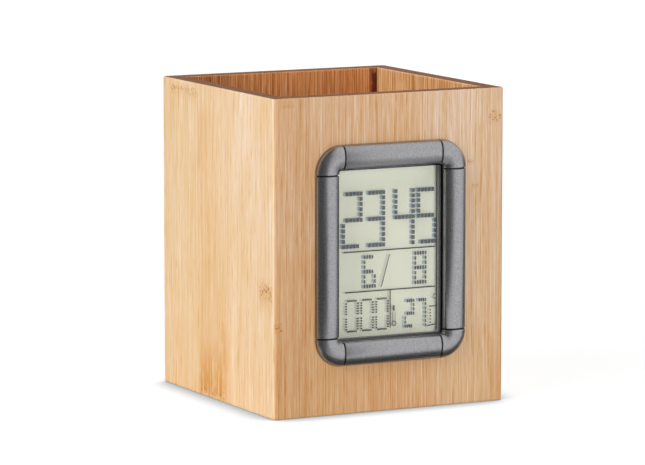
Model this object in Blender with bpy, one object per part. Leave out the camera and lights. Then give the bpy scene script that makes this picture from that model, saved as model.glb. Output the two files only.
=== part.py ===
"""A pen holder clock: a square bamboo box with a battery clock plugged into its front wall.

Metres, +Z up. The origin is the middle of the underside. The clock faces -Y, so its depths
are counted backwards, along +Y, from the front face of the wood.
"""

import math

import bmesh
import bpy

# The bamboo box
HOLDER_WIDTH = 0.081
HOLDER_DEPTH = 0.081
HOLDER_HEIGHT = 0.100
WALL = 0.0055
FLOOR_THICKNESS = 0.0055
CORNER_EASING = 0.0011
RIM_EASING = 0.0005
GLUE_LINE = 0.0001

# The clock's place and its front frame
CLOCK_CENTRE_HEIGHT = 0.050
BEZEL_WIDTH = 0.0523
BEZEL_HEIGHT = 0.069
BEZEL_BAR = 0.0075
BEZEL_PROUD = 0.0030
BEZEL_SIDE_HEIGHT = 0.0010
BEZEL_INNER_EDGE_HEIGHT = 0.0013
BEZEL_LIP = 0.0005
BEZEL_LIP_DEPTH = 0.0004
WINDOW_CORNER = 0.0007
GROOVE_WIDTH = 0.0007
GROOVE_DEPTH = 0.0004
BEZEL_SEAT = 0.0001

# The plug that goes through the front wall
PLUG_INSET = 0.00225
PLUG_CORNER = 0.0047
PLUG_WALL = 0.0012
CUT_OUT_CLEARANCE = 0.0003
GRIP_RIB_HEIGHT = 0.0002
GRIP_RIB_LENGTH = 0.012
GRIP_RIB_THICKNESS = 0.0016
GRIP_RIB_SPACING = 0.034

# The display
SEAT_GAP = 0.0003
LENS_THICKNESS = 0.0010
LENS_OVERLAP = 0.0022
LENS_CORNER = 0.0030
GASKET_THICKNESS = 0.0010
GLASS_THICKNESS = 0.0007
GLASS_OVERLAP = 0.0008
GLASS_END_OVERLAP = 0.0031
GLASS_GAP = 0.0001
GLASS_LEDGE = 0.0022
REFLECTOR_THICKNESS = 0.0002
REFLECTOR_MARGIN = 0.0002
HOLDER_PLATE_THICKNESS = 0.0014
CONNECTOR_HEIGHT = 0.0016
CONNECTOR_MARGIN = 0.0015

# The board and what is soldered to it
BOARD_THICKNESS = 0.0012
CHIP_RADIUS = 0.0045
CHIP_HEIGHT = 0.0012
CHIP_ACROSS = -0.0110
CHIP_UP = 0.0050
CRYSTAL_RADIUS = 0.0010
CRYSTAL_LENGTH = 0.0050
CRYSTAL_ACROSS = -0.0020
CRYSTAL_UP = 0.0060
SENSOR_RADIUS = 0.0013
SENSOR_HEIGHT = 0.0022
SENSOR_SIDE_INSET = 0.0044
SENSOR_UP = -0.0060
BUZZER_RADIUS = 0.0050
BUZZER_THICKNESS = 0.0008
BUZZER_SIDE_INSET = 0.0109
BUZZER_UP = 0.0055
SOUND_HOLE_RADIUS = 0.0006
SOUND_HOLE_RING = 0.0026
SOUND_HOLES = 6

# The rear housing and its screws
HOUSING_WALL = 0.0015
HOUSING_BACK_WALL = 0.0018
BOARD_REST_WIDTH = 0.0016
BOARD_REST_HEIGHT = 0.0060
BOSS_RADIUS = 0.0019
BOSS_SKIN = 0.0002
SCREW_RADIUS = 0.0008
SCREW_HOLE_RADIUS = 0.0010
SCREW_HEAD_RADIUS = 0.0016
SCREW_HEAD_HEIGHT = 0.0009
SCREW_POCKET_RADIUS = 0.0019
SCREW_POCKET_DEPTH = 0.0013
SCREW_SLOT_WIDTH = 0.0005
SCREW_SLOT_DEPTH = 0.0004
SCREW_TIP_DEPTH = 0.0032
PILOT_FLOOR = 0.0007

# The battery, its well and its turning cover
BATTERY_RADIUS = 0.0100
BATTERY_THICKNESS = 0.0032
BATTERY_RIM = 0.0015
BATTERY_STEP = 0.0004
BATTERY_FOOT_INSET = 0.01475
WELL_CLEARANCE = 0.0004
WELL_WALL = 0.0014
WELL_FLOOR = 0.0008
WELL_STANDOFF = 0.00115
CONTACT_THICKNESS = 0.00025
CONTACT_WIDTH = 0.0030
CONTACT_REACH = 0.0060
CONTACT_GAP = 0.0001
CLIP_WIDTH = 0.0040
CLIP_FOOT = 0.0020
CONTACT_SLOT_CLEARANCE = 0.0003
COVER_MARGIN = 0.0013
COVER_CLEARANCE = 0.0003
COVER_LUG_REACH = 0.0013
COVER_LUG_WIDTH = 0.0040
COVER_LUG_HEIGHT = 0.0005
COVER_LUG_SINK = 0.0001
COVER_LUGS = 3
COVER_THICKNESS = 0.0013
COVER_LIP = 0.0006
COVER_TURN_DEGREES = 40.0
COIN_SLOT_LENGTH = 0.0140
COIN_SLOT_WIDTH = 0.0020
COIN_SLOT_DEPTH = 0.0006
COLLAR_WALL = 0.0012

# The push buttons and the rubber mat under them
BUTTON_NAMES = ("mode_button", "set_button", "up_button", "down_button")
BUTTON_SIDE_INSET = 0.0054
BUTTON_TOP_INSET = 0.01075
BUTTON_RADIUS = 0.0029
BUTTON_PROUD = 0.0010
BUTTON_TRAVEL = 0.0008
BUTTON_CLEARANCE = 0.0003
BUTTON_FLANGE = 0.0008
BUTTON_FLANGE_THICKNESS = 0.0009
BUTTON_CROWN = 0.0004
PLUNGER_RADIUS = 0.0016
MAT_THICKNESS = 0.0008
MAT_MARGIN = 0.0006
MAT_CORNER = 0.0015
MAT_COLLAR_WALL = 0.0010
MAT_COLLAR_HEIGHT = 0.0018

# How far a cutter runs past what it cuts, and how far joined shapes run into each other
OVERRUN = 0.0010
OVERLAP = 0.0004

# Steps of the round shapes
CORNER_STEPS = 8
EASING_STEPS = 3
CROWN_STEPS = 10
ROUND_SIDES = 40
SMALL_SIDES = 16

# Plan sizes of the clock, as half widths and half heights about its centre
BEZEL_HALF = (BEZEL_WIDTH / 2, BEZEL_HEIGHT / 2)
BEZEL_CORNER = WINDOW_CORNER + BEZEL_LIP + BEZEL_BAR
PLUG_HALF = tuple(half - PLUG_INSET for half in BEZEL_HALF)
CUT_OUT_HALF = tuple(half + CUT_OUT_CLEARANCE for half in PLUG_HALF)
PLUG_INNER_HALF = tuple(half - PLUG_WALL for half in PLUG_HALF)
WINDOW_HALF = tuple(half - BEZEL_BAR - BEZEL_LIP for half in BEZEL_HALF)
LENS_HALF = tuple(half + LENS_OVERLAP for half in WINDOW_HALF)
GLASS_HALF = (WINDOW_HALF[0] + GLASS_OVERLAP, WINDOW_HALF[1] + GLASS_END_OVERLAP)
REAR_GLASS_HALF = (GLASS_HALF[0], GLASS_HALF[1] - GLASS_LEDGE)
TRAY_HALF = tuple(half - SEAT_GAP for half in PLUG_INNER_HALF)
HOUSING_INNER_HALF = tuple(half - HOUSING_WALL for half in PLUG_HALF)
BOARD_HALF = tuple(half - SEAT_GAP for half in HOUSING_INNER_HALF)
BOSS_REACH = (PLUG_CORNER - BOSS_RADIUS - BOSS_SKIN) * math.cos(math.radians(45))
BOSS_PLACE = tuple(half - PLUG_CORNER + BOSS_REACH for half in PLUG_HALF)
BATTERY_CENTRE = (0.0, BATTERY_FOOT_INSET - HOUSING_INNER_HALF[1])
BUTTON_UP = HOUSING_INNER_HALF[1] - BUTTON_TOP_INSET
OUTER_BUTTON_ACROSS = HOUSING_INNER_HALF[0] - BUTTON_SIDE_INSET
BUZZER_ACROSS = HOUSING_INNER_HALF[0] - BUZZER_SIDE_INSET
SENSOR_ACROSS = SENSOR_SIDE_INSET - HOUSING_INNER_HALF[0]
COVER_RADIUS = BATTERY_RADIUS + COVER_MARGIN

# Depths behind the front face of the wood, each piece seated on the one before it
LENS_FRONT = BEZEL_LIP_DEPTH + SEAT_GAP
LENS_BACK = LENS_FRONT + LENS_THICKNESS
GASKET_FRONT = LENS_BACK + GLASS_GAP
GASKET_BACK = GASKET_FRONT + GASKET_THICKNESS
GLASS_FRONT = GASKET_BACK + GLASS_GAP
GLASS_BACK = GLASS_FRONT + GLASS_THICKNESS
REAR_GLASS_FRONT = GLASS_BACK + GLASS_GAP
REAR_GLASS_BACK = REAR_GLASS_FRONT + GLASS_THICKNESS
REFLECTOR_FRONT = REAR_GLASS_BACK + GLASS_GAP
REFLECTOR_BACK = REFLECTOR_FRONT + REFLECTOR_THICKNESS
TRAY_PLATE_FRONT = REFLECTOR_BACK + SEAT_GAP
TRAY_BACK = TRAY_PLATE_FRONT + HOLDER_PLATE_THICKNESS
HOUSING_FRONT = TRAY_BACK + GLASS_GAP
PLUG_BACK = HOUSING_FRONT - SEAT_GAP
BOARD_FRONT = TRAY_BACK + SEAT_GAP
BOARD_BACK = BOARD_FRONT + BOARD_THICKNESS
PARTS_FRONT = BOARD_BACK + SEAT_GAP
WELL_FLOOR_FRONT = BOARD_BACK + WELL_STANDOFF
WELL_FLOOR_BACK = WELL_FLOOR_FRONT + WELL_FLOOR
CONTACT_FRONT = WELL_FLOOR_BACK + CONTACT_GAP
CONTACT_BACK = CONTACT_FRONT + CONTACT_THICKNESS
BATTERY_FRONT = CONTACT_BACK + CONTACT_GAP
BATTERY_BACK = BATTERY_FRONT + BATTERY_THICKNESS
COVER_FRONT = BATTERY_BACK + SEAT_GAP
COVER_BACK = COVER_FRONT + COVER_THICKNESS
HOUSING_BACK = COVER_BACK
BACK_WALL_FRONT = HOUSING_BACK - HOUSING_BACK_WALL
LIP_FRONT = COVER_BACK - COVER_LIP
GROOVE_FRONT = COVER_FRONT - COVER_CLEARANCE / 2
BUTTON_BACK = HOUSING_BACK + BUTTON_PROUD
FLANGE_BACK = BACK_WALL_FRONT - SEAT_GAP
FLANGE_FRONT = FLANGE_BACK - BUTTON_FLANGE_THICKNESS
PLUNGER_FRONT = PARTS_FRONT + BUTTON_TRAVEL
WELL_RADIUS = BATTERY_RADIUS + WELL_CLEARANCE
LUG_RADIUS = COVER_RADIUS + COVER_LUG_REACH
COLLAR_RADIUS = LUG_RADIUS + COVER_CLEARANCE + COLLAR_WALL


def clear_scene():
    for thing in list(bpy.data.objects):
        bpy.data.objects.remove(thing, do_unlink=True)


def material(name, colour, roughness, metallic=0.0, alpha=1.0):
    """A plain surface of one colour."""
    made = bpy.data.materials.new(name)
    made.use_nodes = True
    shader = made.node_tree.nodes["Principled BSDF"]
    shader.inputs["Base Color"].default_value = (*colour, 1.0)
    shader.inputs["Roughness"].default_value = roughness
    shader.inputs["Metallic"].default_value = metallic
    shader.inputs["Alpha"].default_value = alpha
    return made


def rounded_rectangle(half, corner, steps=CORNER_STEPS):
    """The outline of a rectangle with round corners, anticlockwise."""
    points = []
    for quarter, (side, top) in enumerate(((1, 1), (-1, 1), (-1, -1), (1, -1))):
        centre_across = side * (half[0] - corner)
        centre_up = top * (half[1] - corner)
        for step in range(steps + 1):
            angle = math.radians(90) * (quarter + step / steps)
            across = centre_across + corner * math.cos(angle)
            up = centre_up + corner * math.sin(angle)
            points.append((across, up))
    return points


def circle(radius, sides=ROUND_SIDES, centre=(0.0, 0.0)):
    """The outline of a disc, anticlockwise."""
    turns = [2 * math.pi * side / sides for side in range(sides)]
    return [
        (centre[0] + radius * math.cos(turn), centre[1] + radius * math.sin(turn))
        for turn in turns
    ]


def rectangle(low, high):
    return [(low[0], low[1]), (high[0], low[1]), (high[0], high[1]), (low[0], high[1])]


def place(outline, depth, along):
    """The outline's points in space, at this depth along the Y axis or the Z axis."""
    if along == "Y":
        return [(u, depth, v) for u, v in outline]
    return [(u, v, depth) for u, v in outline]


def add_object(name, mesh_builder, surface, parent=None, location=(0.0, 0.0, 0.0)):
    """A finished mesh as a named object, its faces turned outwards."""
    bmesh.ops.recalc_face_normals(mesh_builder, faces=mesh_builder.faces)
    mesh = bpy.data.meshes.new(name)
    mesh_builder.to_mesh(mesh)
    mesh_builder.free()
    made = bpy.data.objects.new(name, mesh)
    bpy.context.scene.collection.objects.link(made)
    made.parent = parent
    made.location = location
    if surface is not None:
        mesh.materials.append(surface)
    mesh.shade_smooth()
    mesh.set_sharp_from_angle(angle=math.radians(35))
    return made


def loft(name, loops, surface, parent=None, location=(0.0, 0.0, 0.0), closed=False):
    """Joins loops of equal count, and caps the first and last unless they close on each other."""
    builder = bmesh.new()
    rows = [[builder.verts.new(point) for point in loop] for loop in loops]
    pairs = list(zip(rows, rows[1:]))
    if closed:
        pairs.append((rows[-1], rows[0]))
    for first, second in pairs:
        for index in range(len(first)):
            after = (index + 1) % len(first)
            builder.faces.new((first[index], first[after], second[after], second[index]))
    if not closed:
        builder.faces.new(rows[0])
        builder.faces.new(rows[-1])
    return add_object(name, builder, surface, parent, location)


def extrude(name, outline, low, high, along, surface, parent=None, location=(0.0, 0.0, 0.0)):
    loops = [place(outline, low, along), place(outline, high, along)]
    return loft(name, loops, surface, parent, location)


def turned(name, profile, surface, parent, location=(0.0, 0.0, 0.0), sides=ROUND_SIDES):
    """Turns a profile of radius and depth round the Y axis. Its two ends are flat."""
    loops = [place(circle(radius, sides), depth, "Y") for radius, depth in profile]
    return loft(name, loops, surface, parent, location)


def boolean(target, operation, other):
    """Cuts or joins with a helper shape, which itself isn't part of the object."""
    other.hide_render = True
    other.display_type = "WIRE"
    step = target.modifiers.new(other.name, "BOOLEAN")
    step.operation = operation
    step.object = other
    step.solver = "EXACT"


def cut(target, other):
    boolean(target, "DIFFERENCE", other)


def join(target, other):
    boolean(target, "UNION", other)


def cut_plate(target, name, outline, low, high):
    cut(target, extrude(name, outline, low, high, "Y", None, target.parent))


def join_plate(target, name, outline, low, high):
    join(target, extrude(name, outline, low, high, "Y", None, target.parent))


def wall_outline(half_length, face, inset):
    """Half of a mitred wall's plan and its mirror, as distance along the wall and outwards."""
    middle_along = half_length - inset - CORNER_EASING
    middle_out = face - inset - CORNER_EASING
    half = [(half_length - WALL + inset - GLUE_LINE, face - WALL + inset)]
    for step in range(EASING_STEPS + 1):
        angle = math.radians(45) * (1 + step / EASING_STEPS)
        along = middle_along + CORNER_EASING * math.cos(angle) - GLUE_LINE
        half.append((along, middle_out + CORNER_EASING * math.sin(angle)))
    return half + [(-along, out) for along, out in reversed(half)]


def make_wall(name, half_length, face, quarter_turns, surface):
    """One side of the box, with its top and bottom edges eased."""
    turn = math.radians(90) * quarter_turns
    levels = (
        (0.0, RIM_EASING),
        (RIM_EASING, 0.0),
        (HOLDER_HEIGHT - RIM_EASING, 0.0),
        (HOLDER_HEIGHT, RIM_EASING),
    )
    loops = []
    for height, inset in levels:
        outline = wall_outline(half_length, face, inset)
        loops.append([(along, -out, height) for along, out in outline])
    made = loft(name, loops, surface)
    made.rotation_euler = (0.0, 0.0, turn)
    return made


def make_holder(surfaces):
    half_width, half_depth = HOLDER_WIDTH / 2, HOLDER_DEPTH / 2
    wood = surfaces["bamboo"]
    front = make_wall("front_panel", half_width, half_depth, 0, wood)
    make_wall("right_panel", half_depth, half_width, 1, wood)
    make_wall("back_panel", half_width, half_depth, 2, wood)
    make_wall("left_panel", half_depth, half_width, 3, wood)

    cut_out = extrude(
        "front_panel_cut_out",
        rounded_rectangle(CUT_OUT_HALF, PLUG_CORNER + CUT_OUT_CLEARANCE),
        -half_depth - OVERRUN,
        -half_depth + WALL + OVERRUN,
        "Y",
        None,
        None,
        (0.0, 0.0, CLOCK_CENTRE_HEIGHT),
    )
    cut(front, cut_out)

    inner = (half_width - WALL - GLUE_LINE, half_depth - WALL - GLUE_LINE)
    outline = rectangle((-inner[0], -inner[1]), inner)
    extrude("bottom_panel", outline, 0.0, FLOOR_THICKNESS, "Z", wood)


def bezel_section(dip):
    """The frame bar's section: radius from the corner's centre, and depth. A groove dips it."""
    outer = BEZEL_CORNER - dip
    inner_edge = BEZEL_CORNER - BEZEL_BAR
    window_edge = inner_edge - BEZEL_LIP
    web = BEZEL_CORNER - PLUG_INSET - PLUG_WALL / 4
    crown_middle = (BEZEL_CORNER + inner_edge) / 2
    crown_half = BEZEL_BAR / 2 - dip
    section = [(outer, -BEZEL_SEAT), (outer, -BEZEL_SIDE_HEIGHT + dip)]
    for step in range(CROWN_STEPS + 1):
        across_share = math.cos(math.pi * (step + 0.5) / (CROWN_STEPS + 1))
        foot_share = (1 + across_share) / 2
        foot = BEZEL_INNER_EDGE_HEIGHT + (BEZEL_SIDE_HEIGHT - BEZEL_INNER_EDGE_HEIGHT) * foot_share
        rise = (BEZEL_PROUD - foot) * math.sqrt(1 - across_share**2)
        section.append((crown_middle + crown_half * across_share, -foot - rise + dip))
    section += [
        (inner_edge + dip, -BEZEL_INNER_EDGE_HEIGHT + dip),
        (inner_edge, 0.0),
        (inner_edge - BEZEL_LIP / 3, 0.0),
        (window_edge, BEZEL_LIP_DEPTH),
        (web, BEZEL_LIP_DEPTH),
        (web, -BEZEL_SEAT),
    ]
    return section


def bezel_stations():
    """Stops along the frame: corner centre, direction, and how far past the arc's end."""
    stops = []
    sides = ((1, 1), (-1, 1), (-1, -1), (1, -1))
    for quarter, (side, top) in enumerate(sides):
        centre = (side * (BEZEL_HALF[0] - BEZEL_CORNER), top * (BEZEL_HALF[1] - BEZEL_CORNER))
        for slide, dip in ((-GROOVE_WIDTH, 0.0), (-GROOVE_WIDTH / 2, GROOVE_DEPTH)):
            stops.append((centre, math.radians(90) * quarter, slide, dip))
        for step in range(CORNER_STEPS + 1):
            angle = math.radians(90) * (quarter + step / CORNER_STEPS)
            stops.append((centre, angle, 0.0, 0.0))
        for slide, dip in ((GROOVE_WIDTH / 2, GROOVE_DEPTH), (GROOVE_WIDTH, 0.0)):
            stops.append((centre, math.radians(90) * (quarter + 1), slide, dip))
    return stops


def make_bezel(surfaces, clock):
    """The front frame with the plug, its four screw bosses and its grip ribs, as one moulding."""
    loops = []
    for centre, angle, slide, dip in bezel_stations():
        out_across, out_up = math.cos(angle), math.sin(angle)
        start_across = centre[0] - slide * out_up
        start_up = centre[1] + slide * out_across
        loops.append(
            [
                (start_across + radius * out_across, depth, start_up + radius * out_up)
                for radius, depth in bezel_section(dip)
            ]
        )
    bezel = loft("bezel_frame", loops, surfaces["grey_paint"], clock, closed=True)

    plug = extrude(
        "bezel_plug",
        rounded_rectangle(PLUG_HALF, PLUG_CORNER),
        -BEZEL_SEAT - OVERLAP,
        PLUG_BACK,
        "Y",
        None,
        clock,
    )
    cut_plate(
        plug,
        "bezel_plug_hollow",
        rounded_rectangle(PLUG_INNER_HALF, PLUG_CORNER - PLUG_WALL),
        -BEZEL_SEAT - OVERLAP - OVERRUN,
        PLUG_BACK + OVERRUN,
    )
    join(bezel, plug)
    for side in (-1, 1):
        for level in (-1, 1):
            middle = level * GRIP_RIB_SPACING / 2
            edges = sorted((side * (PLUG_HALF[0] - OVERLAP), side * (PLUG_HALF[0] + GRIP_RIB_HEIGHT)))
            outline = rectangle(
                (edges[0], middle - GRIP_RIB_LENGTH / 2), (edges[1], middle + GRIP_RIB_LENGTH / 2)
            )
            start = (PLUG_BACK - GRIP_RIB_THICKNESS) / 2
            join_plate(bezel, f"grip_rib_{side}_{level}", outline, start, start + GRIP_RIB_THICKNESS)
    for number, centre in enumerate(boss_centres(), 1):
        join_plate(
            bezel,
            f"bezel_boss_{number}",
            circle(BOSS_RADIUS, SMALL_SIDES, centre),
            -BEZEL_SEAT - OVERLAP / 2,
            PLUG_BACK - GLASS_GAP,
        )
    for number, centre in enumerate(boss_centres(), 1):
        cut_plate(
            bezel,
            f"bezel_pilot_{number}",
            circle(SCREW_HOLE_RADIUS, SMALL_SIDES, centre),
            PILOT_FLOOR,
            PLUG_BACK + OVERRUN,
        )
    return bezel


def boss_centres():
    return [
        (side * BOSS_PLACE[0], level * BOSS_PLACE[1]) for level in (1, -1) for side in (-1, 1)
    ]


def cut_notches(target, front, back):
    """Room for the four screw bosses at the corners of a plate that lies between them."""
    for number, centre in enumerate(boss_centres(), 1):
        notch = circle(BOSS_RADIUS + SEAT_GAP, SMALL_SIDES, centre)
        cut_plate(target, f"{target.name}_notch_{number}", notch, front - OVERRUN, back + OVERRUN)


def make_display(surfaces, clock):
    """The lens, its gasket, the two glasses of the display, the reflector and the tray for them."""
    window = rounded_rectangle(LENS_HALF, LENS_CORNER)
    lens = extrude("display_lens", window, LENS_FRONT, LENS_BACK, "Y", surfaces["clear"], clock)
    cut_notches(lens, LENS_FRONT, LENS_BACK)

    gasket = extrude(
        "display_gasket",
        rounded_rectangle(TRAY_HALF, PLUG_CORNER - PLUG_WALL - SEAT_GAP),
        GASKET_FRONT,
        GASKET_BACK,
        "Y",
        surfaces["rubber"],
        clock,
    )
    aperture = rounded_rectangle(WINDOW_HALF, WINDOW_CORNER)
    cut_plate(gasket, "gasket_aperture", aperture, GASKET_FRONT - OVERRUN, GASKET_BACK + OVERRUN)
    cut_notches(gasket, GASKET_FRONT, GASKET_BACK)

    clear = surfaces["glass"]
    outline = rectangle((-GLASS_HALF[0], -GLASS_HALF[1]), GLASS_HALF)
    glass = extrude("lcd_front_glass", outline, GLASS_FRONT, GLASS_BACK, "Y", clear, clock)
    cut_notches(glass, GLASS_FRONT, GLASS_BACK)
    outline = rectangle((-REAR_GLASS_HALF[0], -REAR_GLASS_HALF[1]), REAR_GLASS_HALF)
    extrude("lcd_rear_glass", outline, REAR_GLASS_FRONT, REAR_GLASS_BACK, "Y", clear, clock)
    reflector_half = tuple(half - REFLECTOR_MARGIN for half in REAR_GLASS_HALF)
    reflector = rectangle((-reflector_half[0], -reflector_half[1]), reflector_half)
    extrude(
        "lcd_reflector", reflector, REFLECTOR_FRONT, REFLECTOR_BACK, "Y", surfaces["reflector"], clock
    )

    tray = extrude(
        "display_tray",
        rounded_rectangle(TRAY_HALF, PLUG_CORNER - PLUG_WALL - SEAT_GAP),
        GLASS_FRONT,
        TRAY_BACK,
        "Y",
        surfaces["black_plastic"],
        clock,
    )
    pocket_half = tuple(half + SEAT_GAP for half in GLASS_HALF)
    pocket = rectangle((-pocket_half[0], -pocket_half[1]), pocket_half)
    cut_plate(tray, "tray_pocket", pocket, GLASS_FRONT - OVERRUN, TRAY_PLATE_FRONT)
    cut_notches(tray, GLASS_FRONT, TRAY_BACK)

    half_length = GLASS_HALF[0] - CONNECTOR_MARGIN
    for name, level in (("upper_contact_strip", 1), ("lower_contact_strip", -1)):
        middle = level * (REAR_GLASS_HALF[1] + GLASS_LEDGE / 2)
        ends = (half_length, CONNECTOR_HEIGHT / 2)
        strip = rectangle((-ends[0], middle - ends[1]), (ends[0], middle + ends[1]))
        extrude(
            name, strip, GLASS_BACK + SEAT_GAP, BOARD_FRONT - SEAT_GAP, "Y", surfaces["rubber"], clock
        )
        ends = (half_length + SEAT_GAP, CONNECTOR_HEIGHT / 2 + SEAT_GAP)
        slot = rectangle((-ends[0], middle - ends[1]), (ends[0], middle + ends[1]))
        cut_plate(tray, f"{name}_slot", slot, REFLECTOR_FRONT, TRAY_BACK + OVERRUN)


def make_board(surfaces, clock):
    """The circuit board and the parts on its back."""
    board = extrude(
        "circuit_board",
        rounded_rectangle(BOARD_HALF, PLUG_CORNER - HOUSING_WALL - SEAT_GAP),
        BOARD_FRONT,
        BOARD_BACK,
        "Y",
        surfaces["board_green"],
        clock,
    )
    cut_notches(board, BOARD_FRONT, BOARD_BACK)

    chip_shares = ((1.0, 0.0), (0.98, 0.3), (0.85, 0.65), (0.6, 0.87), (0.3, 0.97), (0.08, 1.0))
    turned(
        "controller_chip",
        [
            (CHIP_RADIUS * across_share, CHIP_HEIGHT * up_share)
            for across_share, up_share in chip_shares
        ],
        surfaces["black_resin"],
        clock,
        (CHIP_ACROSS, PARTS_FRONT, CHIP_UP),
        SMALL_SIDES,
    )
    crystal = circle(CRYSTAL_RADIUS, SMALL_SIDES)
    extrude(
        "quartz_crystal",
        crystal,
        -CRYSTAL_LENGTH / 2,
        CRYSTAL_LENGTH / 2,
        "Z",
        surfaces["steel"],
        clock,
        (CRYSTAL_ACROSS, PARTS_FRONT + CRYSTAL_RADIUS, CRYSTAL_UP),
    )
    sensor_shares = ((0.5, 0.0), (0.9, 0.2), (1.0, 0.5), (0.9, 0.8), (0.5, 1.0))
    turned(
        "temperature_sensor",
        [
            (SENSOR_RADIUS * across_share, SENSOR_HEIGHT * up_share)
            for across_share, up_share in sensor_shares
        ],
        surfaces["black_resin"],
        clock,
        (SENSOR_ACROSS, PARTS_FRONT, SENSOR_UP),
        SMALL_SIDES,
    )
    extrude(
        "piezo_buzzer",
        circle(BUZZER_RADIUS),
        BACK_WALL_FRONT - SEAT_GAP - BUZZER_THICKNESS,
        BACK_WALL_FRONT - SEAT_GAP,
        "Y",
        surfaces["brass"],
        clock,
        (BUZZER_ACROSS, 0.0, BUZZER_UP),
    )


def lug_box(centre, turn, reach, width):
    """A bar that runs from the centre outwards, in the direction of turn."""
    across, up = math.cos(turn), math.sin(turn)
    corners = ((0.0, -width / 2), (reach, -width / 2), (reach, width / 2), (0.0, width / 2))
    return [
        (centre[0] + far * across - side * up, centre[1] + far * up + side * across)
        for far, side in corners
    ]


def lug_turns(start_degrees):
    return [
        math.radians(90 + start_degrees) + 2 * math.pi * lug / COVER_LUGS
        for lug in range(COVER_LUGS)
    ]


def make_housing(surfaces, clock):
    """The rear shell, with the battery well, screw bosses, button holes and sound holes."""
    housing = extrude(
        "rear_housing",
        rounded_rectangle(PLUG_HALF, PLUG_CORNER),
        HOUSING_FRONT,
        HOUSING_BACK,
        "Y",
        surfaces["black_plastic"],
        clock,
    )
    hollow = rounded_rectangle(HOUSING_INNER_HALF, PLUG_CORNER - HOUSING_WALL)
    cut_plate(housing, "housing_hollow", hollow, HOUSING_FRONT - OVERRUN, BACK_WALL_FRONT)

    into_wall = BACK_WALL_FRONT + OVERLAP
    for side in (-1, 1):
        edges = sorted(
            (side * (HOUSING_INNER_HALF[0] - BOARD_REST_WIDTH), side * (HOUSING_INNER_HALF[0] + OVERLAP))
        )
        rest = rectangle((edges[0], -BOARD_REST_HEIGHT / 2), (edges[1], BOARD_REST_HEIGHT / 2))
        join_plate(housing, f"board_rest_{side}", rest, PARTS_FRONT, into_wall)
    well = circle(WELL_RADIUS + WELL_WALL, centre=BATTERY_CENTRE)
    join_plate(housing, "battery_well", well, WELL_FLOOR_FRONT, into_wall)
    collar = circle(COLLAR_RADIUS, centre=BATTERY_CENTRE)
    join_plate(housing, "cover_collar", collar, GROOVE_FRONT - COLLAR_WALL, into_wall + OVERLAP / 2)
    for number, centre in enumerate(boss_centres(), 1):
        boss = circle(BOSS_RADIUS, SMALL_SIDES, centre)
        join_plate(housing, f"housing_boss_{number}", boss, HOUSING_FRONT + GLASS_GAP, into_wall)

    bore = circle(WELL_RADIUS, centre=BATTERY_CENTRE)
    cut_plate(housing, "well_bore", bore, WELL_FLOOR_BACK, GROOVE_FRONT + OVERLAP)
    groove = circle(LUG_RADIUS + COVER_CLEARANCE, centre=BATTERY_CENTRE)
    cut_plate(housing, "lug_groove", groove, GROOVE_FRONT, LIP_FRONT)
    mouth = circle(COVER_RADIUS + COVER_CLEARANCE, centre=BATTERY_CENTRE)
    cut_plate(housing, "cover_mouth", mouth, LIP_FRONT - OVERLAP, HOUSING_BACK + OVERRUN)
    for number, turn in enumerate(lug_turns(-COVER_TURN_DEGREES), 1):
        reach, width = LUG_RADIUS + COVER_CLEARANCE, COVER_LUG_WIDTH + 2 * COVER_CLEARANCE
        notch = lug_box(BATTERY_CENTRE, turn, reach, width)
        cut_plate(housing, f"lug_notch_{number}", notch, LIP_FRONT - OVERLAP, HOUSING_BACK + OVERRUN)

    pocket_floor = HOUSING_BACK - SCREW_POCKET_DEPTH
    for number, centre in enumerate(boss_centres(), 1):
        hole = circle(SCREW_HOLE_RADIUS, SMALL_SIDES, centre)
        hole_end = pocket_floor + SCREW_POCKET_DEPTH / 2
        cut_plate(housing, f"screw_hole_{number}", hole, HOUSING_FRONT - OVERRUN, hole_end)
        pocket = circle(SCREW_POCKET_RADIUS, SMALL_SIDES, centre)
        cut_plate(housing, f"screw_pocket_{number}", pocket, pocket_floor, HOUSING_BACK + OVERRUN)
    for name, across in zip(BUTTON_NAMES, button_places()):
        hole = circle(BUTTON_RADIUS + BUTTON_CLEARANCE, centre=(across, BUTTON_UP))
        cut_plate(
            housing, f"{name}_hole", hole, BACK_WALL_FRONT - OVERRUN, HOUSING_BACK + OVERRUN
        )
    for number in range(SOUND_HOLES + 1):
        turn = 2 * math.pi * number / SOUND_HOLES
        ring = SOUND_HOLE_RING if number < SOUND_HOLES else 0.0
        centre = (BUZZER_ACROSS + ring * math.cos(turn), BUZZER_UP + ring * math.sin(turn))
        hole = circle(SOUND_HOLE_RADIUS, SMALL_SIDES, centre)
        cut_plate(
            housing, f"sound_hole_{number}", hole, BACK_WALL_FRONT - OVERRUN, HOUSING_BACK + OVERRUN
        )

    slack = CONTACT_SLOT_CLEARANCE
    tail = BATTERY_CENTRE[0] + CONTACT_REACH
    slot = rectangle(
        (tail - CONTACT_THICKNESS - slack, BATTERY_CENTRE[1] - CONTACT_WIDTH / 2 - slack),
        (tail + slack, BATTERY_CENTRE[1] + CONTACT_WIDTH / 2 + slack),
    )
    cut_plate(housing, "contact_slot", slot, WELL_FLOOR_FRONT - OVERRUN, WELL_FLOOR_BACK + OVERRUN)
    clip = clip_edge()
    slot = rectangle(
        (clip - CONTACT_THICKNESS - slack, BATTERY_CENTRE[1] - CLIP_WIDTH / 2 - slack),
        (BATTERY_CENTRE[0] - BATTERY_RADIUS + slack, BATTERY_CENTRE[1] + CLIP_WIDTH / 2 + slack),
    )
    cut_plate(housing, "clip_slot", slot, WELL_FLOOR_FRONT - OVERRUN, BATTERY_BACK)


def clip_edge():
    """The side of the upright contact that faces the cell's rim."""
    return BATTERY_CENTRE[0] - BATTERY_RADIUS - CONTACT_SLOT_CLEARANCE


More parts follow.
